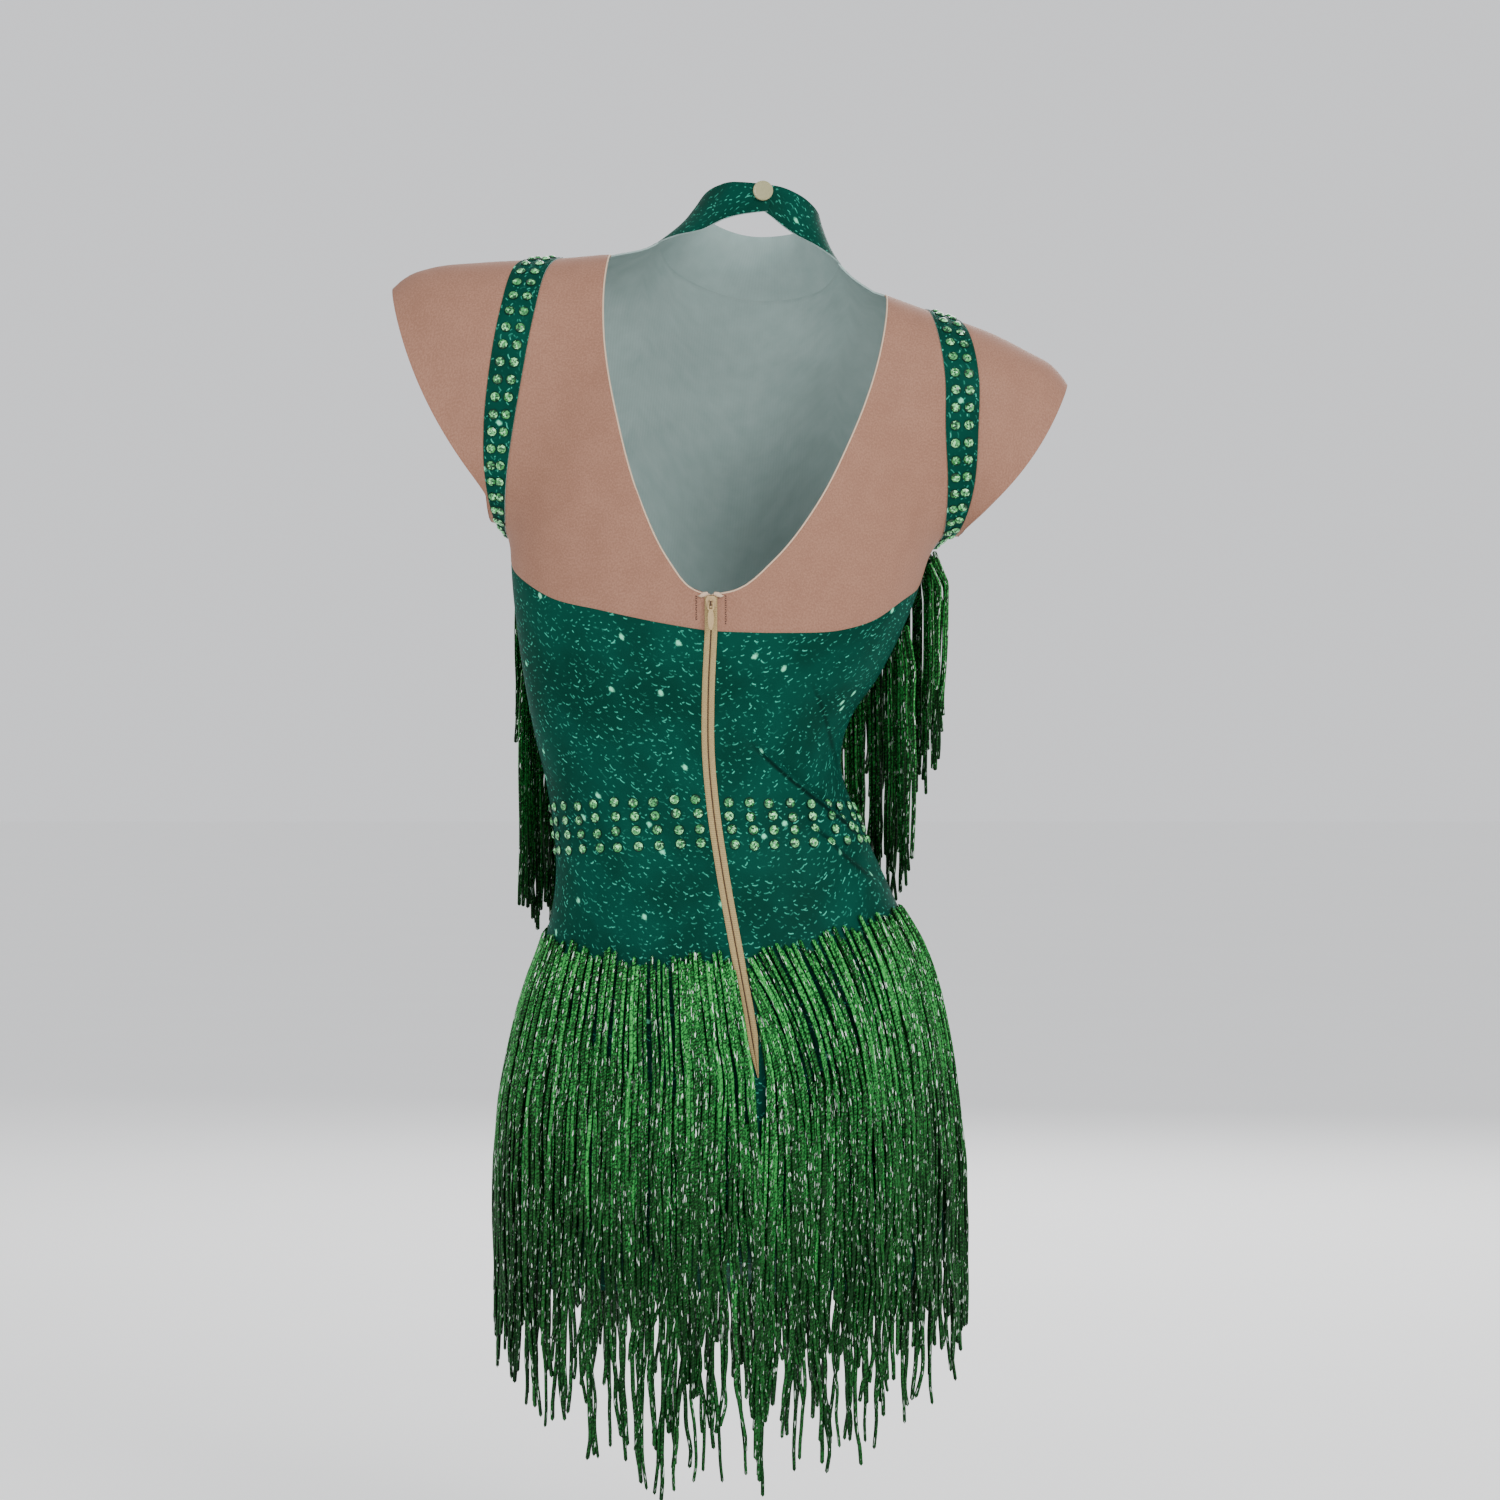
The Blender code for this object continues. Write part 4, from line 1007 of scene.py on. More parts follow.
class Finish(Enum):
    """Every finish on the leotard and under it."""

    JERSEY = PrintedJersey()
    WRONG = WrongSide()
    NUDE = NudeMesh()
    YARN = FringeYarn()
    STONE = CutStone()
    FOIL = Plain("stone_foil", (0.001, 0.012, 0.006, 1), (0.003, 0.03, 0.014, 1), 0.45, 900)
    TAPE = Plain("zip_tape_cloth", (0.29, 0.205, 0.090, 1), (0.51, 0.385, 0.185, 1), 0.75, 900, ribs=0.0013)
    # Dark painted shade, for the gap between the zip's tapes and under the slider's staple.
    COIL = Plain("zip_coil", (0.035, 0.018, 0.010, 1), (0.09, 0.05, 0.03, 1), 0.6, 1200)
    ENAMEL = Plain("zip_enamel", (0.40, 0.27, 0.135, 1), (0.50, 0.36, 0.19, 1), 0.34, 700, coat=0.15)
    SNAP = Plain("snap_cap_plastic", (0.27, 0.255, 0.135, 1), (0.34, 0.32, 0.18, 1), 0.4, 500, coat=0.1)
    CREAM = Plain("cream_edge", (0.50, 0.35, 0.24, 1), (0.66, 0.50, 0.36, 1), 0.6, 900)
    BROWN = Plain("brown_thread", (0.045, 0.022, 0.018, 1), (0.11, 0.06, 0.048, 1), 0.8, 1500)
    GREEN = Plain("green_thread", (0.0008, 0.035, 0.021, 1), (0.002, 0.07, 0.042, 1), 0.8, 1500)
    FLOOR = Plain("studio_floor", (0.94, 0.94, 0.935, 1), (0.97, 0.97, 0.965, 1), 0.7, 3)

    def material(self) -> bpy.types.Material:
        """The material, made when it is first asked for."""
        return bpy.data.materials.get(self.value.name) or self.value.make()


def keep(
    name: str, mesh: bpy.types.Mesh, finishes: list[Finish], nodes: tuple[str, ...] = (),
    body: Body = Body.GARMENT,
) -> bpy.types.Object:
    """Turns a mesh in millimetres into a kept piece in metres.

    Args:
        name: The piece's name.
        mesh: Its mesh.
        finishes: Its materials, by face index.
        nodes: The solids that it stands for.
        body: The body that it rides on.

    Returns:
        The new object.
    """
    mesh.name = name
    mesh.transform(Matrix.Scale(MM, 4))
    for finish in finishes:
        mesh.materials.append(finish.material())
    piece = bpy.data.objects.new(name, mesh)
    bpy.context.scene.collection.objects.link(piece)
    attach(piece, body.value)
    if nodes:
        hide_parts(*nodes)
    LOG.info("%s: %d faces on %s", name, len(mesh.polygons), body.value)
    return piece


def meshed(bm: bmesh.types.BMesh, name: str = "piece") -> bpy.types.Mesh:
    """Turns a bmesh into a mesh and frees it.

    Args:
        bm: The bmesh.
        name: The mesh's name.

    Returns:
        The mesh.
    """
    mesh = bpy.data.meshes.new(name)
    bm.to_mesh(mesh)
    bm.free()
    return mesh


def cloth_mesh(
    outer: Array, inner: Array, closed: bool = False, shift: float = 0.0, straight: bool = False
) -> bpy.types.Mesh:
    """A thin closed wall between two grids of points, with a map in metres of cloth.

    Args:
        outer: The outer side's points by row and column.
        inner: The inner side's points.
        closed: Whether the last column meets the first.
        shift: Moves the map, so that two pieces differ.
        straight: Whether the map's columns stay straight where the rows differ much in length.

    Returns:
        The mesh. Its inner side and its cut edges have the second material.
    """
    rows, columns = outer.shape[0] - 1, outer.shape[1] - 1
    across = np.zeros(outer.shape[:2])
    across[:, 1:] = np.cumsum(np.linalg.norm(np.diff(outer, axis=1), axis=2), axis=1)
    if straight:
        across = np.broadcast_to(across.mean(axis=0), across.shape)
    down = np.zeros(outer.shape[:2])
    down[1:] = np.cumsum(np.linalg.norm(np.diff(outer, axis=0), axis=2), axis=0)
    place = np.stack([across - across[:, columns // 2, None], -down], axis=2) * MM + shift
    bm = bmesh.new()
    bmesh.ops.create_grid(bm, x_segments=columns, y_segments=rows, size=1)
    row_of, column_of, inner_of = (bm.verts.layers.int.new(key) for key in ("row", "column", "inner"))
    for vert in bm.verts:
        vert[column_of] = round((vert.co.x + 1) / 2 * columns)
        vert[row_of] = round((vert.co.y + 1) / 2 * rows)
    grown = bmesh.ops.extrude_face_region(bm, geom=bm.faces[:])["geom"]
    for vert in (item for item in grown if isinstance(item, bmesh.types.BMVert)):
        vert[inner_of] = 1
    uv = bm.loops.layers.uv.new("UVMap")
    for face in bm.faces:
        face.material_index = int(any(vert[inner_of] for vert in face.verts))
        for loop in face.loops:
            loop[uv].uv = place[loop.vert[row_of], loop.vert[column_of]]
    for vert in bm.verts:
        vert.co = (inner if vert[inner_of] else outer)[vert[row_of], vert[column_of]]
    if closed:
        ends = [face for face in bm.faces if len({vert[column_of] for vert in face.verts}) == 1]
        bmesh.ops.delete(bm, geom=ends, context="FACES")
        bmesh.ops.remove_doubles(bm, verts=bm.verts, dist=0.001)
    bmesh.ops.recalc_face_normals(bm, faces=bm.faces)
    return finished(bm, 50)


def finished(bm: bmesh.types.BMesh, sharp_deg: float = 40) -> bpy.types.Mesh:
    """Turns a bmesh into a smooth-shaded mesh.

    Args:
        bm: The bmesh, which is freed.
        sharp_deg: Edges over this angle stay sharp.

    Returns:
        The mesh.
    """
    mesh = meshed(bm)
    mesh.shade_smooth()
    mesh.set_sharp_from_angle(angle=math.radians(sharp_deg))
    return mesh


def cord_mesh(paths: Array, outs: Array, radii: Array, sides: int, flat: float = 1.0) -> bpy.types.Mesh:
    """Many closed tubes, wrapped from one grid. Their map is turns round, counted on, and metres along.

    Args:
        paths: Middle points by ring, cord and axis.
        outs: A way out across the path at each middle point.
        radii: Radii by ring and cord, nought where a cord is closed to a point.
        sides: The sides of each tube.
        flat: Its depth as a share of its width.

    Returns:
        The mesh.
    """
    rings, count = radii.shape
    wide = sides + 1
    along = unit(np.gradient(paths, axis=0))
    side = unit(np.cross(along, outs))
    out = np.cross(side, along)
    turn = np.linspace(0, 2 * math.pi, wide)[None, None, :, None]
    shape = side[:, :, None] * np.cos(turn) + out[:, :, None] * np.sin(turn) * flat
    points = (paths[:, :, None] + shape * radii[:, :, None, None]).reshape(rings, count * wide, 3)
    run = np.zeros((rings, count))
    run[1:] = np.cumsum(np.linalg.norm(np.diff(paths, axis=0), axis=2), axis=0)

    bm = bmesh.new()
    bmesh.ops.create_grid(bm, x_segments=count * wide - 1, y_segments=rings - 1, size=1)
    mesh = meshed(bm)
    flat_grid = np.empty(len(mesh.vertices) * 3)
    mesh.vertices.foreach_get("co", flat_grid)
    flat_grid = (flat_grid.reshape(-1, 3) + 1) / 2
    column = np.rint(flat_grid[:, 0] * (count * wide - 1)).astype(int)
    row = np.rint(flat_grid[:, 1] * (rings - 1)).astype(int)
    mesh.vertices.foreach_set("co", points[row, column].ravel())
    corner = np.empty(len(mesh.loops), int)
    mesh.loops.foreach_get("vertex_index", corner)
    place = np.column_stack([column // wide + (column % wide) / sides, run[row, column // wide] * MM])
    mesh.uv_layers.new(name="UVMap").uv.foreach_set("vector", place[corner].ravel())
    cord_of = (column // wide)[corner].reshape(-1, 4)
    apart = np.nonzero(cord_of.min(1) != cord_of.max(1))[0]

    bm = bmesh.new()
    bm.from_mesh(mesh)
    bpy.data.meshes.remove(mesh)
    bm.faces.ensure_lookup_table()
    bmesh.ops.delete(bm, geom=[bm.faces[index] for index in apart], context="FACES")
    bmesh.ops.remove_doubles(bm, verts=bm.verts, dist=0.002)
    bmesh.ops.recalc_face_normals(bm, faces=bm.faces)
    return finished(bm, 80)


def placed(middle: Array, normal: Array, turn: float = 0.0) -> Matrix:
    """A place on the cloth: x level, y up, z along the normal, turned about it.

    Args:
        middle: The origin's place.
        normal: The way out there.
        turn: How far to turn.

    Returns:
        The matrix.
    """
    level = unit(np.cross([0, 0, 1.0], normal))
    axes = Matrix(np.column_stack([level, np.cross(normal, level), normal]).tolist()).to_4x4()
    return Matrix.Translation(Vector(middle)) @ axes @ Matrix.Rotation(turn, 4, "Z")


@dataclass
class Panels:
    """The cut cloth pieces of the body: front, backs, yokes and sleeves."""

    pattern: Pattern
    wall: float = 1.0
    face: float = 1.2
    seam_dip: float = 0.45
    hem_rows: int = 3
    rim_bow: dict[Side, float] = field(default_factory=lambda: {Side.LEFT: 12, Side.RIGHT: 10})

    def _lay(self, name: str, grid: Array, lift: Array, finish: Finish, closed: bool = False) -> bpy.types.Object:
        """Lays one sheet on the form.

        Args:
            name: The piece's name, after the solid that it stands for.
            grid: Its points on the form.
            lift: How far its outer side is lifted above the usual one.
            finish: Its outer finish.
            closed: Whether it goes round in a ring.

        Returns:
            The kept piece.
        """
        normals = self.pattern.form.outward(grid)
        outer = grid + normals * (self.face + lift)[..., None]
        inner = outer - normals * self.wall
        wrong = Finish.WRONG if finish is Finish.JERSEY else finish
        mesh = cloth_mesh(outer, inner, closed, shift=0.173 * len(name))
        node = name.replace("_cloth", "")
        return keep(name, mesh, [finish, wrong], (node,))

    def _dipped(self, grid: Array, closed: bool = False) -> Array:
        """A lift that dips towards the sewn edges, with the creases.

        Args:
            grid: Points by row and column.
            closed: Whether the grid is a ring.

        Returns:
            The lift at each point.
        """
        lift = creased(grid)
        lift[0] -= self.seam_dip
        lift[-1] -= self.seam_dip
        if not closed:
            lift[:, 0] -= self.seam_dip
            lift[:, -1] -= self.seam_dip
        return lift

    def front(self) -> None:
        """The green front in one piece, from collar and shoulders to the legs."""
        lines = self.pattern.lines
        first, last = (
            joined(*(lines[kind + side.value] for kind in ("front_armhole_", "underarm_", "side_")))
            for side in Side
        )
        top = joined(
            lines["shoulder_left"][::-1], lines["corner_left"], lines["neck_front"],
            lines["corner_right"], lines["shoulder_right"],
        )
        foot = joined(
            lines["hem_front_left"], lines["inseam_left"][::-1],
            lines["inseam_right"], lines["hem_front_right"][::-1],
        )
        grid = self.pattern.panel(first, last, top, foot, (0, -104, 0))
        piece = self._lay("front_bodice_cloth", grid, self._dipped(grid), Finish.JERSEY)

    def backs(self) -> None:
        """On each side, the green back from the yoke's foot to the leg, and the nude yoke above it."""
        lines = self.pattern.lines
        for side in Side:
            end = "_" + side.value
            middle = joined(lines["zip_back"], lines["seat_seam"], lines["inseam" + end])
            grid = self.pattern.panel(
                middle, lines["side" + end], lines["yoke_foot" + end], lines["hem_back" + end],
                (26 * side.way, 26, 0),
            )
            piece = self._lay("back_bodice" + end + "_cloth", grid, self._dipped(grid), Finish.JERSEY)
            grid = self.pattern.panel(
                joined(lines["neck_edge" + end], lines["zip_top"]),
                joined(lines["yoke_armhole" + end], lines["underarm" + end]),
                lines["wide_shoulder" + end], lines["yoke_foot" + end], (6 * side.way, 14, 4),
            )
            piece = self._lay("back_yoke" + end + "_cloth", grid, self._dipped(grid), Finish.NUDE)

    def sleeves(self) -> None:
        """On each side, the green band over the armhole and the nude cap sleeve beyond it."""
        form = self.pattern.form
        for side in Side:
            rings = self.pattern.armhole_rings(side)
            share = np.linspace(0, 1, 5)[:, None, None]
            halves = [(1 - share) * a[None] + share * b[None] for a, b in zip(rings, rings[1:])]
            grid = form.settle(np.vstack([halves[0], halves[1][1:]]))
            lift = np.full(grid.shape[:2], 0.5)
            lift[0] = lift[-1] = 0.25
            piece = self._lay(f"armhole_band_{side.value}_cloth", grid, lift, Finish.JERSEY, closed=True)

            mouth, out, up, _ = form.shoulder_axes(side)
            half_height, half_depth = form.sections[side].at(np.zeros(1))
            turn = np.linspace(0, 2 * math.pi, len(rings[2]))[:, None]
            past = np.maximum(self.rim_bow[side] * np.sin(turn) ** 2, ((rings[2] - mouth) @ out)[:, None] + 4)
            rim = form.settle(
                mouth + (past - 2) * out + np.cos(turn) * half_height * up
                + np.sin(turn) * half_depth * np.array([0.0, 1.0, 0.0])
            )
            share = np.linspace(0, 1, 3 * self.pattern.fine + 1)[:, None, None]
            swell = 4 * share * (1 - share) * 6 * form.outward(rings[2])[None]
            grid = form.settle((1 - share) * rings[2][None] + share * rim[None] + swell)
            grid[0], grid[-1] = rings[2], rim
            lift = np.zeros(grid.shape[:2])
            lift[0] = -self.seam_dip
            lift[-self.hem_rows:] += 0.25
            piece = self._lay(f"cap_sleeve_{side.value}_cloth", grid, lift, Finish.NUDE, closed=True)

    def build(self) -> None:
        """Builds every panel."""
        self.front()
        self.backs()
        self.sleeves()


@dataclass
class Collar:
    """The high collar, lapped at the back of the neck and closed by one snap."""

    pattern: Pattern
    rows: int = 12
    lap_columns: float = 2
    lap_lift: float = 2.3
    wall: float = 1.1
    snap_place: tuple[float, float] = (-18, 56)
    snap_radius: float = 6.6
    snap_thick: float = 2.4

    def build(self) -> None:
        """Builds the collar and its snap."""
        form, lines = self.pattern.form, self.pattern.lines
        foot = joined(lines["collar_foot_left"], lines["neck_front"], lines["collar_foot_right"])
        share = np.linspace(0, 1, self.rows + 1)[:, None, None]
        top = lines["collar_top"]
        grid = form.settle((1 - share) * foot[None] + share * top[None], KEEP_LEVEL)
        grid[0], grid[-1] = foot, top
        column = np.arange(grid.shape[1]) / self.pattern.fine
        lap = self.lap_lift * np.clip(self.lap_columns + 1 - column, 0, 1)
        edge = 0.2 * np.sin(0.9 * column)
        normals = form.outward(grid)
        lift = np.broadcast_to(lap + edge, grid.shape[:2])
        inner = grid + normals * lift[..., None]
        mesh = cloth_mesh(inner + normals * self.wall, inner, shift=0.71, straight=True)
        piece = keep("collar_cloth", mesh, [Finish.JERSEY, Finish.WRONG], ("collar",))
        self._snap(form)

    def _snap(self, form: WornForm) -> None:
        """The snap's round cap, lightly dished, with a rolled rim.

        Args:
            form: The form that it sits over.
        """
        seat = form.settle(np.array([[self.snap_place[0], 40, self.snap_place[1]]], float), DEPTH_ONLY)[0]
        normal = form.outward(seat[None])[0]
        bm = bmesh.new()
        bmesh.ops.create_cone(
            bm, cap_ends=True, segments=40, radius1=self.snap_radius - 0.2, radius2=self.snap_radius,
            depth=self.snap_thick,
        )
        bmesh.ops.translate(bm, vec=(0, 0, self.snap_thick / 2), verts=bm.verts)
        rim = [edge for edge in bm.edges if min(vert.co.z for vert in edge.verts) > self.snap_thick / 2]
        bmesh.ops.bevel(
            bm, geom=rim, offset=0.8, offset_type="OFFSET", segments=4, profile=0.5, affect="EDGES", material=-1,
        )
        cap = [face for face in bm.faces if len(face.verts) > 30 and face.calc_center_median().z > 1]
        inner = bmesh.ops.inset_region(bm, faces=cap, thickness=0.9, depth=-0.18)["faces"]
        bmesh.ops.bevel(
            bm, geom=list({edge for face in inner for edge in face.edges}), offset=0.15, segments=2,
            profile=0.5, affect="EDGES", material=-1,
        )
        bm.transform(placed(seat + normal * (self.lap_lift + 1.6), normal))
        keep("collar_snap_cap", finished(bm, 50), [Finish.SNAP], ("collar_snap",))


@dataclass
class Stones:
    """Faceted glass stones, glued in rows on the bands and at the back of the waist."""

    pattern: Pattern
    radius: float = 3.15
    height: float = 1.7
    band_pitch: float = 11.2
    band_share: float = 0.41
    band_lift: float = 1.7
    waist_pitch: float = 13.2
    waist_lift: float = 1.25
    zip_clear: float = 10.3
    # level beside the zip and level at the side, for each row and each side of the zip
    waist_rows: dict[Side, Rows] = field(default_factory=lambda: {
        Side.LEFT: ((-339, -345), (-348, -354), (-358, -363), (-367.5, -373)),
        Side.RIGHT: ((-340.5, -345), (-349.5, -352), (-358.5, -359), (-368.5, -366)),
    })

    def _stone(self) -> bpy.types.Mesh:
        """One stone at the origin: a dark foil edge below a crown of facets.

        Returns:
            Its mesh.
        """
        bm = bmesh.new()
        low = bmesh.ops.create_cone(
            bm, cap_ends=True, segments=12, radius1=self.radius * 1.09, radius2=self.radius * 1.04, depth=0.6)
        bmesh.ops.translate(bm, vec=(0, 0, 0.3), verts=low["verts"])
        for face in bm.faces:
            face.material_index = 1
        crown = bmesh.ops.create_cone(
            bm, cap_ends=True, segments=8, radius1=self.radius * 0.94, radius2=self.radius * 0.52,
            depth=self.height - 0.6,
        )
        bmesh.ops.translate(bm, vec=(0, 0, 0.6 + (self.height - 0.6) / 2), verts=crown["verts"])
        table = [face for face in bm.faces if face.calc_center_median().z > self.height - 0.01]
        bmesh.ops.poke(bm, faces=table, offset=0.28)
        sides = [face for face in bm.faces if face.material_index == 0 and len(face.verts) == 4]
        bmesh.ops.triangulate(bm, faces=sides, quad_method="ALTERNATE")
        bmesh.ops.triangulate(bm, faces=[face for face in bm.faces if len(face.verts) > 4])
        return meshed(bm, "stone")

    def _scatter(self, name: str, seats: Array, seed: int) -> None:
        """Sets stones on seats on the form, raised on to the cloth.

        Args:
            name: The piece's name.
            seats: Points on the cloth's outer side.
            seed: What the small differences start from.
        """
        chance = np.random.default_rng(seed)
        normals = self.pattern.form.outward(seats)
        one = self._stone()
        bm = bmesh.new()
        for seat, normal in zip(seats, normals):
            start = len(bm.verts)
            bm.from_mesh(one)
            bm.verts.ensure_lookup_table()
            tip = normal + chance.uniform(-0.06, 0.06, 3)
            place = placed(seat, unit(tip), chance.uniform(0, SPIN))
            bmesh.ops.transform(bm, matrix=place, verts=bm.verts[start:])
        bpy.data.meshes.remove(one)
        # A random share of painted light and shade for each face of the stones.
        painted_facet_light = bm.faces.layers.float.new("painted_facet_light")
        for face in bm.faces:
            face[painted_facet_light] = chance.uniform(0, 1)
        keep(name, meshed(bm), [Finish.STONE, Finish.FOIL])

    def bands(self) -> None:
        """Two rows round each armhole."""
        form = self.pattern.form
        for side in Side:
            edge, middle, other = self.pattern.armhole_rings(side)
            seats = []
            for end in (edge, other):
                line = form.settle(middle + (end - middle) * self.band_share)
                count = round(length_of(line) / self.band_pitch)
                seats.append(evenly(line, (np.arange(count) + 0.5) / count))
            points = np.vstack(seats)
            points = points + form.outward(points) * self.band_lift
            slot = "armhole_band_" + side.value
            self._scatter(slot + "_stones", points, 5 + side.way)

    def waist(self) -> None:
        """Four rows across the back of the waist, with none on the zip."""
        form = self.pattern.form
        zip_line = self.pattern.lines["zip_back"]
        chance = np.random.default_rng(9)
        for side in Side:
            edge_line = self.pattern.lines["side_" + side.value]
            seats = []
            for near, far in self.waist_rows[side]:
                start = np.interp(-near, -zip_line[:, 2], zip_line[:, 0]) + self.zip_clear * side.way
                end = np.interp(-far, -edge_line[:, 2], edge_line[:, 0])
                rows = (
                    (start, 70, near), (start + (end - start) * 0.5, 60, near + (far - near) * 0.3),
                    (start + (end - start) * 0.88, 30, near + (far - near) * 0.8), (end, 0, far),
                    (end - 7 * side.way, -26, far - 1),
                )
                line = form.settle(drawn(rows, 60), (0.3, 1, 0.1))
                count = round(length_of(line) / self.waist_pitch)
                row = evenly(line, np.arange(count + 1) / count) + chance.uniform(-0.7, 0.7, (count + 1, 3))
                seats.append(form.settle(row))
            points = np.vstack(seats)
            points = points + form.outward(points) * (self.waist_lift + creased(points))[:, None]
            self._scatter(f"waist_stones_{side.value}", points, 21 + side.way)

    def build(self) -> None:
        """Sets every stone."""
        self.bands()
        self.waist()


@dataclass(frozen=True)
class Trim:
    """One row of fringe: where its strands are sewn on, and how they hang."""

    name: str
    root: Rows
    strands: int
    length: float
    uneven: float
    lift: tuple[float, float]
    rings: int
    seed: int
    # at the row's first end and at its last one
    shorter: tuple[float, float] = (0.0, 0.0)
    fuller: tuple[float, float] = (0.0, 0.0)
    flank: float = 0.0
    # shares of the strands, and of the row that they fill
    spread: Rows = ((0.0, 1.0), (0.0, 1.0))


TRIMS: tuple[Trim, ...] = (
    Trim("hip_fringe_upper", (
        (-5.5, 98, -494), (-1.5, 93, -470), (4, 88, -449), (28, 86, -448), (53, 84, -449),
        (78, 74, -445), (123, 26, -438), (124, -30, -434), (70, -86, -444),
        (0, -98, -450), (-70, -82, -438), (-110, -34, -422), (-113, 10, -420), (-87, 58, -424),
        (-52, 82, -436), (-29, 87, -442), (-9.5, 88, -446), (-13.5, 93, -470), (-17, 98, -492),
    ), 290, 238, 30, (2.7, 5.6), 46, 3, flank=8, spread=((0, 0.031, 0.113, 1), (0, 0.062, 0.103, 1))),
    Trim("hip_fringe_lower", (
        (-15.5, 106, -552), (30, 104, -536), (84, 84, -502), (136, 24, -462), (138, -30, -460),
        (80, -86, -492), (0, -96, -520), (-80, -82, -490), (-126, -30, -450), (-128, 24, -452),
        (-90, 72, -492), (-50, 98, -526), (-16.5, 106, -551),
    ), 300, 207, 26, (2.7, 3.8), 44, 4, flank=26),
    Trim("chest_fringe_upper", (
        (140, -46, -170), (112, -76, -175), (60, -102, -178), (8, -112, -180),
        (-50, -102, -184), (-98, -72, -186), (-124, -38, -187), (-131, -10, -187),
    ), 165, 138, 18, (3.0, 7.4), 32, 5, shorter=(22, 58), fuller=(2, 13)),
    Trim("chest_fringe_lower", (
        (134, -14, -262), (112, -56, -266), (60, -92, -270), (12, -99, -271),
        (-40, -93, -266), (-80, -64, -250), (-98, -34, -238), (-106, -12, -230),
    ), 165, 150, 20, (2.8, 4.2), 34, 6, shorter=(32, 0), fuller=(2, 5)),
)


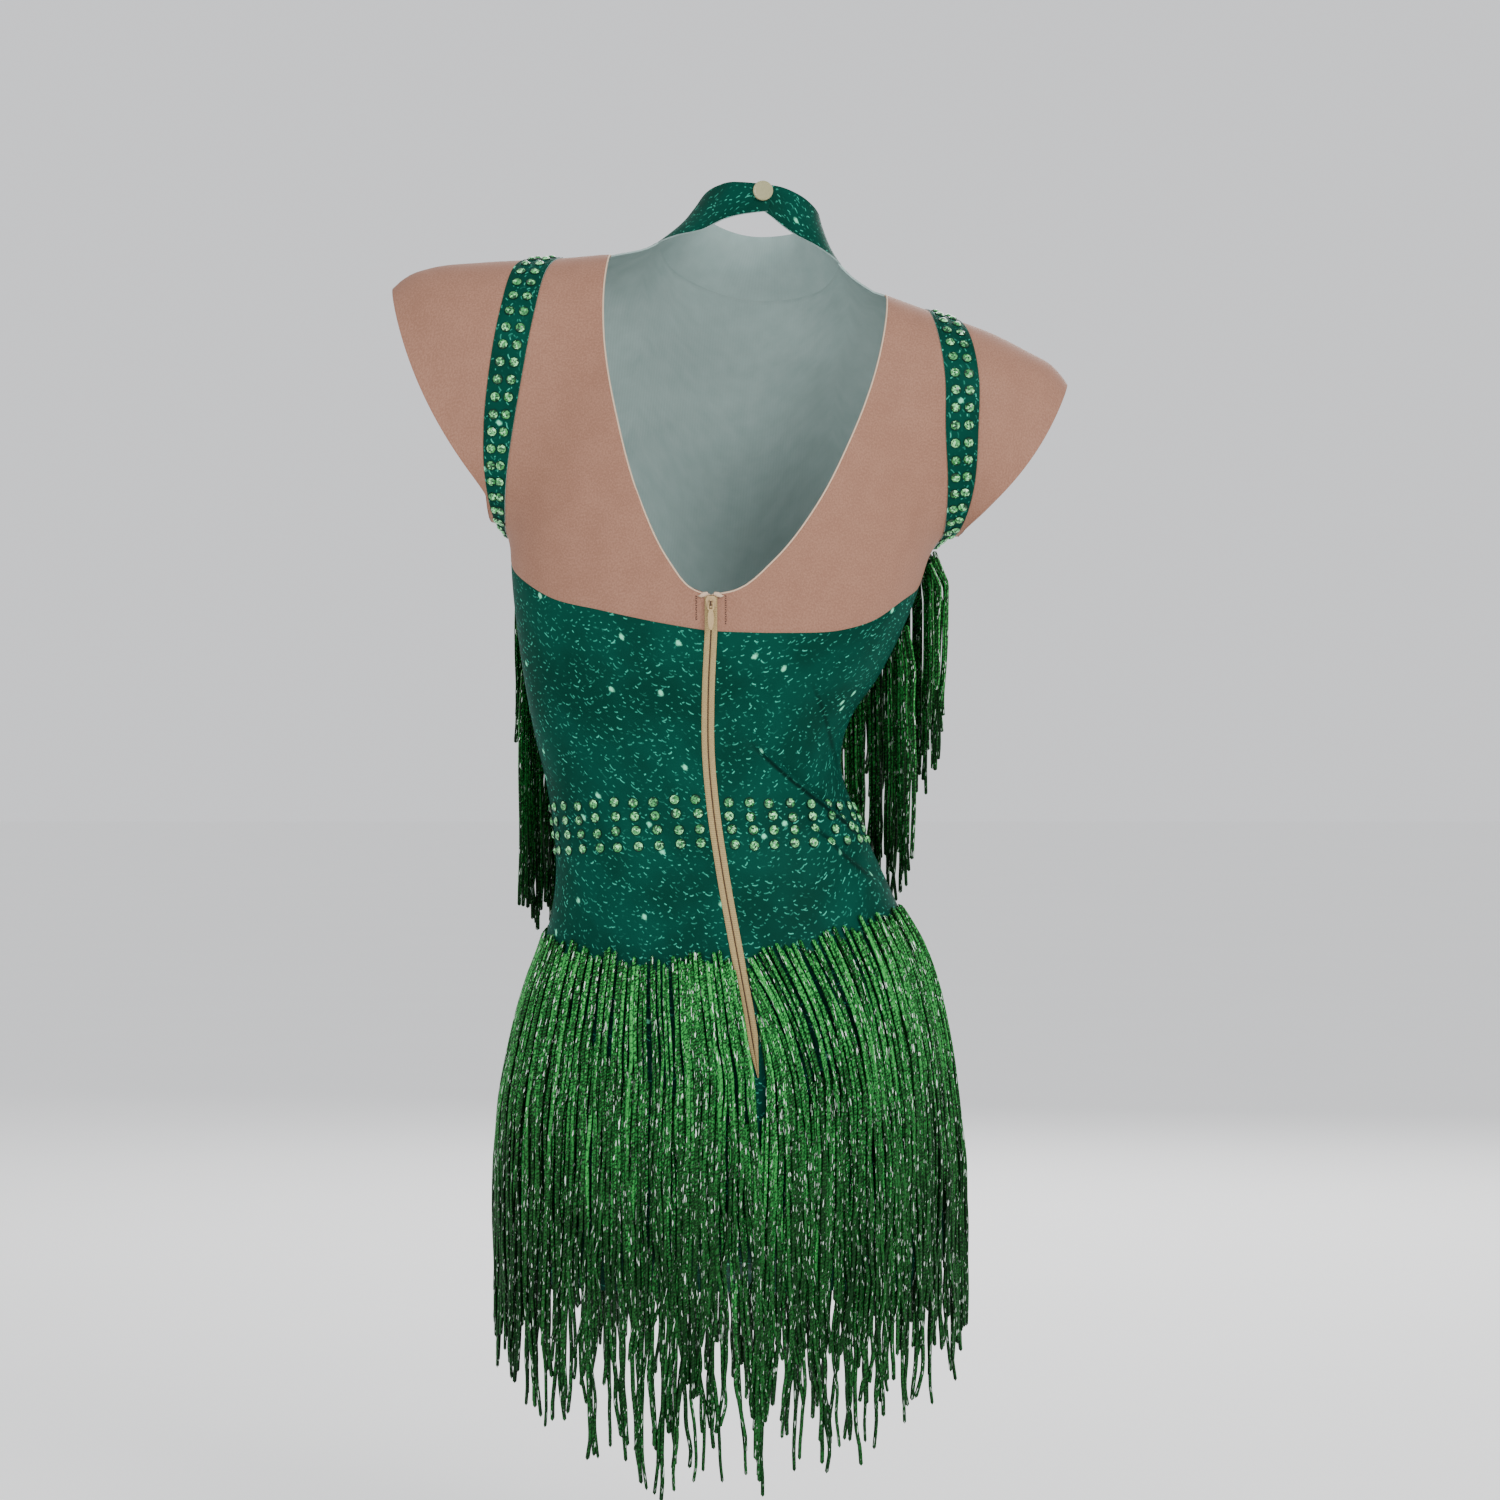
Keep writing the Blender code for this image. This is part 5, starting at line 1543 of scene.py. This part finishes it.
@dataclass
class Fringe:
    """Rows of fine twisted strands, each hung from its seam and pushed out by the form beneath."""

    pattern: Pattern
    trims: tuple[Trim, ...] = TRIMS
    strand_radius: float = 1.55
    strip_height: float = 6
    zip_reach: float = 34
    rise: float = 30
    march: float = 4.0
    comb: float = 0.36
    comb_depth: float = 75
    comb_reach: tuple[float, float] = (50, 130)
    comb_fade: float = 55
    left_reach: float = 1.8
    foot: float = -498
    closing: float = 0.07
    closing_width: float = 14
    root_steps: int = 100
    root_lift: float = 2.5
    end_fade: float = 7
    full_fade: float = 12
    lock_share: float = 0.32
    # size and length of each wave along a strand
    waves: Rows = ((2.9, 21), (1.2, 8.0), (0.5, 4.2))
    taper: float = 0.12

    def _hang(self, roots: Array, trim: Trim, longest: float) -> Array:
        """Lets strands fall from their roots.

        Args:
            roots: Where they are sewn on.
            trim: Their row of fringe.
            longest: How far to go.

        Returns:
            Points by step, strand and axis.
        """
        lines = self.pattern.lines
        zip_line = joined(lines["zip_top"], lines["zip_back"])

        def zip_at(height: Array) -> Array:
            """Where the zip is across at a height."""
            return np.interp(-height, -zip_line[:, 2], zip_line[:, 0])

        offset = roots[:, 0] - zip_at(roots[:, 2])
        beside, behind = np.abs(offset), roots[:, 1] > 0
        reach = np.where(offset > 0, self.left_reach, 1.0) * self.zip_reach
        lean = np.where(behind, np.exp(-beside / reach), 0)
        near, far = self.comb_reach
        combed = np.where(behind & (offset < 0), np.clip((far - beside) / (far - near), 0, 1), 0)
        combed = combed * np.clip((roots[:, 2] - self.foot) / self.comb_fade, 0, 1) ** 1.4
        path = [roots]
        for step in range(1, int(longest / self.march) + 3):
            p = path[-1] + np.array([0, 0, -self.march])
            p[:, 0] += lean * (zip_at(p[:, 2]) - zip_at(path[-1][:, 2]))
            p[:, 0] -= combed * self.comb * self.march * math.exp(-(self.march * step / self.comb_depth) ** 2)
            away = p[:, 0] - zip_at(p[:, 2])
            closing = np.where(behind & (p[:, 2] < self.foot), np.exp(-(away / self.closing_width) ** 2), 0)
            p[:, 0] -= self.closing * self.march * closing * np.clip(away / 5, -1, 1)
            wanted = trim.lift[0] + (trim.lift[1] - trim.lift[0]) * min(1, self.march * step / self.rise)
            short = np.maximum(wanted - self.pattern.form.gap(p), 0)
            path.append(p + self.pattern.form.outward(p) * short[:, None])
        return np.array(path)

    def _strands(self, trim: Trim) -> bpy.types.Mesh:
        """All strands of one row as one mesh.

        Args:
            trim: The row of fringe.

        Returns:
            The mesh.
        """
        form = self.pattern.form
        chance = np.random.default_rng(trim.seed)
        line = self.pattern.seam(trim.root, self.root_steps)
        count = trim.strands
        shares = (np.arange(count) + 0.5 + chance.uniform(-0.35, 0.35, count)) / count
        foot = evenly(line, np.interp(shares, *trim.spread))
        up = self.strip_height + chance.uniform(-5, 6, count)
        roots = form.settle(foot + np.column_stack([np.zeros((count, 2)), up]), KEEP_LEVEL)
        above = self.root_lift + np.maximum(creased(roots), 0) + chance.uniform(0, 0.7, count)
        roots = roots + form.outward(roots) * above[:, None]
        ids = np.arange(count)
        from_ends = np.array([ids, ids[::-1]])
        near_ends = np.exp(-from_ends / self.end_fade)
        lengths = trim.length + up + trim.uneven * chance.uniform(-1, 1, count)
        lengths = lengths - np.array(trim.shorter) @ near_ends * chance.uniform(0.6, 1.1, count)
        aside = np.clip(np.abs(roots[:, 0] + 15) / 45 - 0.4, 0, 1) * (roots[:, 1] > 0)
        lengths = lengths + trim.flank * aside
        falls = self._hang(roots, trim, float(lengths.max()))

        share = np.linspace(0, 1, trim.rings)
        share[1], share[-2] = 0.006, 0.994
        paths = np.stack([
            evenly(falls[:, k], share * lengths[k] / length_of(falls[:, k])) for k in range(count)
        ], axis=1)
        outs = form.outward(paths)
        level = unit(np.cross(outs, [0, 0, 1.0]))
        groups = np.cumsum(chance.uniform(0, 1, count) < self.lock_share)
        centre = np.array([ids[groups == g].mean() for g in groups])
        pitch = length_of(line) / count
        draw = (centre - ids) * pitch * chance.uniform(0.0, 0.35, count)
        way = np.sign(((foot[1] - foot[0]) * level[0, 0]).sum())
        down = share[:, None] * trim.length
        phase, phase_two, phase_three = chance.uniform(0, SPIN, (3, count))
        loose = 0.25 + 0.75 * share[:, None] ** 1.5
        starts = (phase, phase_two, phase)
        wave = sum(size * np.sin(down / length + start) for (size, length), start in zip(self.waves, starts))
        wave = wave * chance.uniform(0.3, 1.0, count) * loose
        sway = np.minimum(1, share * 4)[:, None] * wave + way * share[:, None] ** 0.8 * draw
        sway = sway + 3.0 * share[:, None] ** 2 * np.sin(0.21 * ids + trim.seed)[None]
        sway = sway + chance.normal(0, 4.0, count) * share[:, None] ** 3
        inner = np.minimum(ids, count - 1 - ids)
        sway = sway * np.clip(inner / 6 + 0.25, 0, 1)
        puff = chance.uniform(0, 1.6, count)[None] * np.minimum(1, share * 5)[:, None]
        puff = puff + (0.7 * np.sin(down / 15 + phase_three) + 0.7) * loose
        full = np.array(trim.fuller) @ np.exp(-from_ends / self.full_fade) * chance.uniform(0.2, 1.0, count)
        puff = puff + full * np.minimum(1, share[:, None] * 6) * (1 - 0.35 * share[:, None])
        paths = paths + level * sway[..., None] + outs * puff[..., None]

        radii = np.full((trim.rings, count), self.strand_radius) * chance.uniform(0.78, 1.12, count)
        radii = radii * (1 - self.taper * share[:, None] ** 6)
        radii[0], radii[-1] = 0, 0
        radii[1] *= 0.95
        return cord_mesh(paths, outs, radii, 5)

    def build(self) -> None:
        """Builds each row, and the narrow strip that its strands are sewn to."""
        for trim in self.trims:
            keep(trim.name + "_strands", self._strands(trim), [Finish.YARN], (trim.name,))
            line = self.pattern.seam(trim.root, self.root_steps)[::3]
            form = self.pattern.form
            share = np.array([0.0, 1.0])[:, None, None]
            upper = form.settle(line + np.array([0, 0, self.strip_height - 3.5]), KEEP_LEVEL)
            grid = form.settle((1 - share) * line[None] + share * upper[None])
            inner = grid + form.outward(grid) * (1.3 + np.maximum(creased(grid), 0))[..., None]
            mesh = cloth_mesh(inner + form.outward(grid) * 0.5, inner)
            keep(trim.name + "_strip", mesh, [Finish.GREEN, Finish.GREEN])


@dataclass
class Zip:
    """The back zip: two rolled tape edges, a dark cord of painted shade in the gap between them, the slider and its
    pull.
    """

    pattern: Pattern
    half_width: float = 4.0
    point: float = 30
    slider_down: float = 4.6
    slider_lift: float = 2.8
    slider_core: float = 0.6
    pull_axis: float = 2.9
    pull_core: float = 1.0
    stitch_pitch: float = 1.45
    stitch_out: float = 9.4
    # way, and where the stitches start and stop below the zip's top
    stitch_rows: Rows = ((1, 0.8, 17.5), (-1, 0.6, 20.5))
    # down, half_width
    slider_rows: Rows = ((-4.5, 2.2), (-2.7, 3.2), (-1.7, 3.2), (1.7, 3.0), (2.7, 2.7), (4.5, 1.9))
    pull_rows: Rows = (
        (-0.5, 1.8), (0.55, 2.05), (3.7, 2.05), (4.9, 1.2), (6.3, 1.7),
        (9.5, 2.0), (13.0, 1.8), (15.7, 1.2), (17.0, 0.5),
    )

    def _plate(self, rows: Rows, core: float) -> bmesh.types.BMesh:
        """A flat bmesh from rows of (down, half width), with a middle column as wide as the core.

        Args:
            rows: The rows.
            core: Half the middle column's width, where there is room.

        Returns:
            The bmesh.
        """
        bm = bmesh.new()
        bmesh.ops.create_grid(bm, x_segments=3, y_segments=len(rows) - 1, size=1)
        for vert in bm.verts:
            down, half = rows[round((vert.co.y + 1) / 2 * (len(rows) - 1))]
            inner = min(core, 0.6 * half)
            across = (-half, -inner, inner, half)[round((vert.co.x + 1) / 2 * 3)]
            vert.co = (across, -down, 0)
        return bm

    @staticmethod
    def _core(bm: bmesh.types.BMesh, core: float, low: float, start: float, end: float) -> list[bmesh.types.BMFace]:
        """The faces of the middle column above this height whose middles lie this far up or down.

        Args:
            bm: The bmesh.
            core: The column's size.
            low: The height.
            start: The least way up or down.
            end: The greatest.

        Returns:
            The faces.
        """
        middles = ((face, face.calc_center_median()) for face in bm.faces)
        return [face for face, at in middles if abs(at.x) < core / 2 and at.z > low and start < abs(at.y) < end]

    @staticmethod
    def _thicken(bm: bmesh.types.BMesh, thick: float) -> None:
        """Gives a flat bmesh its thickness, upwards.

        Args:
            bm: The bmesh.
            thick: Its thickness.
        """
        grown = bmesh.ops.extrude_face_region(bm, geom=bm.faces[:])["geom"]
        moved = [item for item in grown if isinstance(item, bmesh.types.BMVert)]
        bmesh.ops.translate(bm, vec=(0, 0, thick), verts=moved)

    @staticmethod
    def _rounded(piece: bpy.types.Object, width: float) -> None:
        """Rounds a hard piece's edges.

        Args:
            piece: The piece.
            width: The bevel's width.
        """
        bevel = piece.modifiers.new("edges", "BEVEL")
        bevel.width, bevel.segments, bevel.limit_method = width * MM, 3, "ANGLE"
        bevel.angle_limit = math.radians(35)

    def build(self) -> None:
        """Builds the tape, the painted shade in the gap, the stitches, the slider and the pull."""
        form, lines = self.pattern.form, self.pattern.lines
        line = joined(lines["zip_top"], lines["zip_back"])
        across = unit(np.cross(np.gradient(line, axis=0), form.outward(line)))
        half = self.half_width * np.clip(0.12 + np.linalg.norm(line - line[-1], axis=1) / self.point, 0, 1)
        places = np.linspace(-1, 1, 17)
        grid = form.settle(line[:, None] + places[None, :, None] * half[:, None, None] * across[:, None])
        roll = np.sqrt(np.maximum(0, 1 - ((np.abs(places) - 0.52) / 0.5) ** 2))
        normals = form.outward(grid)
        lift = 1.5 + creased(grid) + 0.85 * roll[None]
        outer, inner = grid + normals * lift[..., None], grid + normals * (1.3 + creased(grid))[..., None]
        mesh = cloth_mesh(outer, inner)
        piece = keep("zip_tape_cloth", mesh, [Finish.TAPE, Finish.TAPE], ("zip_tape",))

        # A dark cord along the gap between the rolled tape edges: painted shade.
        middle, ways = grid[6:-3:2, 8], normals[6:-3:2, 8]
        gap_line = middle + ways * 1.75
        gap_line = gap_line + creased(middle)[:, None] * ways
        radii = np.full((len(gap_line), 1), 0.55)
        radii[0], radii[-1] = 0, 0
        keep("zip_gap_painted_shade", cord_mesh(gap_line[:, None], ways[:, None], radii, 6), [Finish.COIL])
        self._sewing(form, line, across)
        self._hardware(form, line)

    def _sewing(self, form: WornForm, line: Array, across: Array) -> None:
        """The folded tape ends at the neck edge and a zigzag of brown thread on each side of the zip.

        Args:
            form: The form beneath.
            line: The zip's line.
            across: The way across it at each point.
        """
        chance = np.random.default_rng(12)
        ends, outs = [], []
        for way in (-1, 1):
            reach = np.array([[0.9, 1.6], [2.6, 3.0], [4.6, 2.6], [6.4, 1.8], [8.6, 1.7]])
            points = line[0] + across[0] * (way * reach[:, :1]) + np.array([0, 0, 1.0]) * (reach[:, 1:] - 2.2)
            points = form.settle(points, (0.1, 1, 0.1))
            ends.append(points + form.outward(points) * 2.2)
            outs.append(form.outward(points))
        paths, ways = np.stack(ends, axis=1), np.stack(outs, axis=1)
        radii = np.array([0, 1.5, 1.7, 1.1, 0.0])[:, None] * np.ones((1, 2))
        keep("zip_tape_ends", cord_mesh(paths, ways, radii, 8, 0.7), [Finish.CREAM])

        starts, stops = [], []
        for way, down_from, down_to in self.stitch_rows:
            for step in range(int((down_to - down_from) / self.stitch_pitch)):
                down = down_from + self.stitch_pitch * step
                middle = line[0] + across[0] * (way * self.stitch_out) + np.array([0, 0, -down])
                swing = 0.75 * (1 if step % 2 else -1) + chance.uniform(-0.15, 0.15)
                starts.append(middle + np.array([-swing, 0, 0.55]))
                stops.append(middle + np.array([swing, 0, -0.55]))
        points = np.stack([np.array(starts), (np.array(starts) + np.array(stops)) / 2, np.array(stops)])
        points = form.settle(points, DEPTH_ONLY)
        outs_of = form.outward(points)
        points = points + outs_of * np.array([1.15, 1.5, 1.15])[:, None, None]
        radii = np.array([0.0, 0.4, 0.0])[:, None] * np.ones((1, points.shape[1]))
        keep("zip_stitches", cord_mesh(points, outs_of, radii, 4), [Finish.BROWN])

    def _hardware(self, form: WornForm, line: Array) -> None:
        """The slider with its staple, and the pull tab, which hangs plumb from the staple.

        Args:
            form: The form beneath.
            line: The zip's line.
        """
        seat = evenly(line, np.array([self.slider_down / (line[0, 2] - line[-1, 2])]))[0]
        normal = form.outward(seat[None])[0]
        on_tape = seat + normal * self.slider_lift
        core = self.slider_core
        bm = self._plate(self.slider_rows, core)
        self._thicken(bm, 2.0)
        legs = self._core(bm, core, 1.0, 1.7, 2.7)
        for rise in (1.7, 0.9):
            legs = bmesh.ops.extrude_discrete_faces(bm, faces=legs)["faces"]
            bmesh.ops.translate(bm, vec=(0, 0, rise), verts=[vert for face in legs for vert in face.verts])
        facing = self._core(bm, core, 3.7, 1.6, 1.8)
        edges = [edge for face in facing for edge in face.edges]
        bmesh.ops.delete(bm, geom=facing, context="FACES_ONLY")
        bmesh.ops.bridge_loops(bm, edges=edges)
        # The top between the staple's legs gets the dark finish: painted shade under the staple, seen through the
        # pull's eye.
        for face in self._core(bm, core, 1.9, -1, 1.7):
            face.material_index = 1
        bm.transform(placed(on_tape, normal))
        bmesh.ops.recalc_face_normals(bm, faces=bm.faces)
        finishes = [Finish.ENAMEL, Finish.COIL]
        slider = keep("zip_slider_enamel", finished(bm), finishes, ("zip_slider",))
        self._rounded(slider, 0.22)

        bm = self._plate(self.pull_rows, self.pull_core)
        eye = self._core(bm, self.pull_core, -1, 0.55, 3.7)
        bmesh.ops.delete(bm, geom=eye, context="FACES_ONLY")
        self._thicken(bm, 1.0)
        bmesh.ops.translate(bm, vec=(0, 0, -0.5), verts=bm.verts)
        plumb = unit(normal * np.array([1, 1, 0]))
        bm.transform(placed(on_tape + normal * self.pull_axis, plumb))
        bmesh.ops.recalc_face_normals(bm, faces=bm.faces)
        pull = keep("zip_pull_enamel", finished(bm), [Finish.ENAMEL], ("zip_pull_tab",), Body.PULL)
        self._rounded(pull, 0.26)


@dataclass
class Edges:
    """Thin finished edges and tonal stitch rows."""

    pattern: Pattern
    neck_radius: float = 0.58
    neck_lift: float = 0.85
    leg_hems: tuple[float, float] = (9, 11.5)
    band_inset: float = 1.3
    stitch: float = 2.4
    stitch_radius: float = 0.24

    def _cord(self, name: str, line: Array, radius: float, lift: float, finish: Finish) -> None:
        """One thin cord that follows a seam line.

        Args:
            name: The piece's name.
            line: The seam line.
            radius: The cord's radius.
            lift: Its middle above the form.
            finish: Its finish.
        """
        form = self.pattern.form
        line = form.settle(evenly(line, np.r_[0, np.linspace(0.003, 0.997, 120), 1]))
        outs = form.outward(line)
        radii = np.full((len(line), 1), radius)
        radii[0], radii[-1] = 0, 0
        keep(name, cord_mesh((line + outs * lift)[:, None], outs[:, None], radii, 6), [finish])

    def _stitches(self, name: str, lines: list[Array], lift: float, finish: Finish) -> None:
        """Rows of short straight stitches along lines.

        Args:
            name: The piece's name.
            lines: Points on the form.
            lift: The cloth's outer side above the form.
            finish: The thread.
        """
        form = self.pattern.form
        paths = []
        for line in lines:
            count = max(2, round(length_of(line) / self.stitch))
            starts = np.arange(count) / count
            spans = [evenly(line, starts + part * 0.68 / count) for part in (0, 0.5, 1)]
            paths.append(np.stack(spans))
        points = form.settle(np.concatenate(paths, axis=1))
        outs = form.outward(points)
        raised = (lift + creased(points))[..., None] + np.array([-0.1, 0.16, -0.1])[:, None, None]
        radii = np.array([0.0, 1.0, 0.0])[:, None] * np.full((1, points.shape[1]), self.stitch_radius)
        keep(name, cord_mesh(points + outs * raised, outs, radii, 4), [finish])

    def _inside(self, line: Array, toward: Array, by: float) -> Array:
        """A line drawn in towards another by a distance."""
        return self.pattern.form.settle(line + unit(toward - line) * by)

    def build(self) -> None:
        """Builds the cream neck edges and the stitch rows."""
        lines = self.pattern.lines
        for side in Side:
            end = "_" + side.value
            name = "neck_edge" + end
            self._cord(name, lines[name], self.neck_radius, self.neck_lift, Finish.CREAM)
            rings = self.pattern.armhole_rings(side)
            hem = joined(lines["hem_back" + end], lines["hem_front" + end])
            rows = [self._inside(hem, hem + np.array([0, 0, 40.0]), gap) for gap in self.leg_hems]
            self._stitches("leg_hem_stitches" + end, rows, 1.2, Finish.GREEN)
            rows = [self._inside(ring, rings[1], self.band_inset) for ring in (rings[0], rings[2])]
            self._stitches("band_stitches" + end, rows, 1.75, Finish.GREEN)


@dataclass
class Studio:
    """A pale plain floor, soft light, and the camera level behind the garment."""

    centre: tuple[float, float, float] = (-0.0099, 0.0, -0.307)
    distance: float = 2.6
    lens: float = 94.5
    floor_level: float = -0.90
    floor_size: float = 60.0

    def _light(self, name: str, place: tuple[float, float, float], size: float, power: float) -> None:
        """One square soft light that faces the garment.

        Args:
            name: Its name.
            place: Where it stands.
            size: Its side.
            power: Its power.
        """
        lamp = bpy.data.lights.new(name, "AREA")
        lamp.shape, lamp.size, lamp.energy = "SQUARE", size, power
        light = bpy.data.objects.new(name, lamp)
        light.location = place
        way = Vector(self.centre) - Vector(place)
        light.rotation_euler = way.to_track_quat("-Z", "Y").to_euler()
        bpy.context.scene.collection.objects.link(light)

    def build(self) -> None:
        """Sets up the floor, the lights, the surroundings and the camera."""
        bm = bmesh.new()
        bmesh.ops.create_grid(bm, x_segments=4, y_segments=4, size=self.floor_size / 2)
        bmesh.ops.translate(bm, vec=(0, 0, self.floor_level), verts=bm.verts)
        mesh = meshed(bm, "studio_floor")
        mesh.materials.append(Finish.FLOOR.material())
        floor = bpy.data.objects.new("studio_floor", mesh)
        bpy.context.scene.collection.objects.link(floor)

        self._light("key_light", (-1.6, 2.7, 1.3), 1.2, 76)
        self._light("fill_light", (1.7, 2.6, 0.3), 1.6, 17)
        self._light("front_light", (-0.6, -2.8, 1.2), 2.0, 70)
        world = bpy.data.worlds.new("studio")
        world.use_nodes = True
        world.node_tree.nodes["Background"].inputs["Color"].default_value = (0.96, 0.97, 1.0, 1)
        world.node_tree.nodes["Background"].inputs["Strength"].default_value = 1.0
        bpy.context.scene.world = world

        data = bpy.data.cameras.new("camera")
        data.lens, data.sensor_width = self.lens, 36
        camera = bpy.data.objects.new("camera", data)
        camera.location = (self.centre[0], self.distance, self.centre[2])
        camera.rotation_euler = (math.pi / 2, 0, math.pi)
        bpy.context.scene.collection.objects.link(camera)
        bpy.context.scene.camera = camera


def main() -> None:
    """Builds the dressed leotard and its studio, piece by piece."""
    logging.basicConfig(level=logging.INFO, format="%(name)s %(message)s")
    pattern = Pattern(WornForm())
    for part in (Panels(pattern), Collar(pattern), Zip(pattern), Edges(pattern), Stones(pattern), Fringe(pattern)):
        part.build()
        LOG.info("%s done", type(part).__name__)
    Studio().build()
    bpy.context.view_layer.update()


if __name__ == "__main__":
    main()
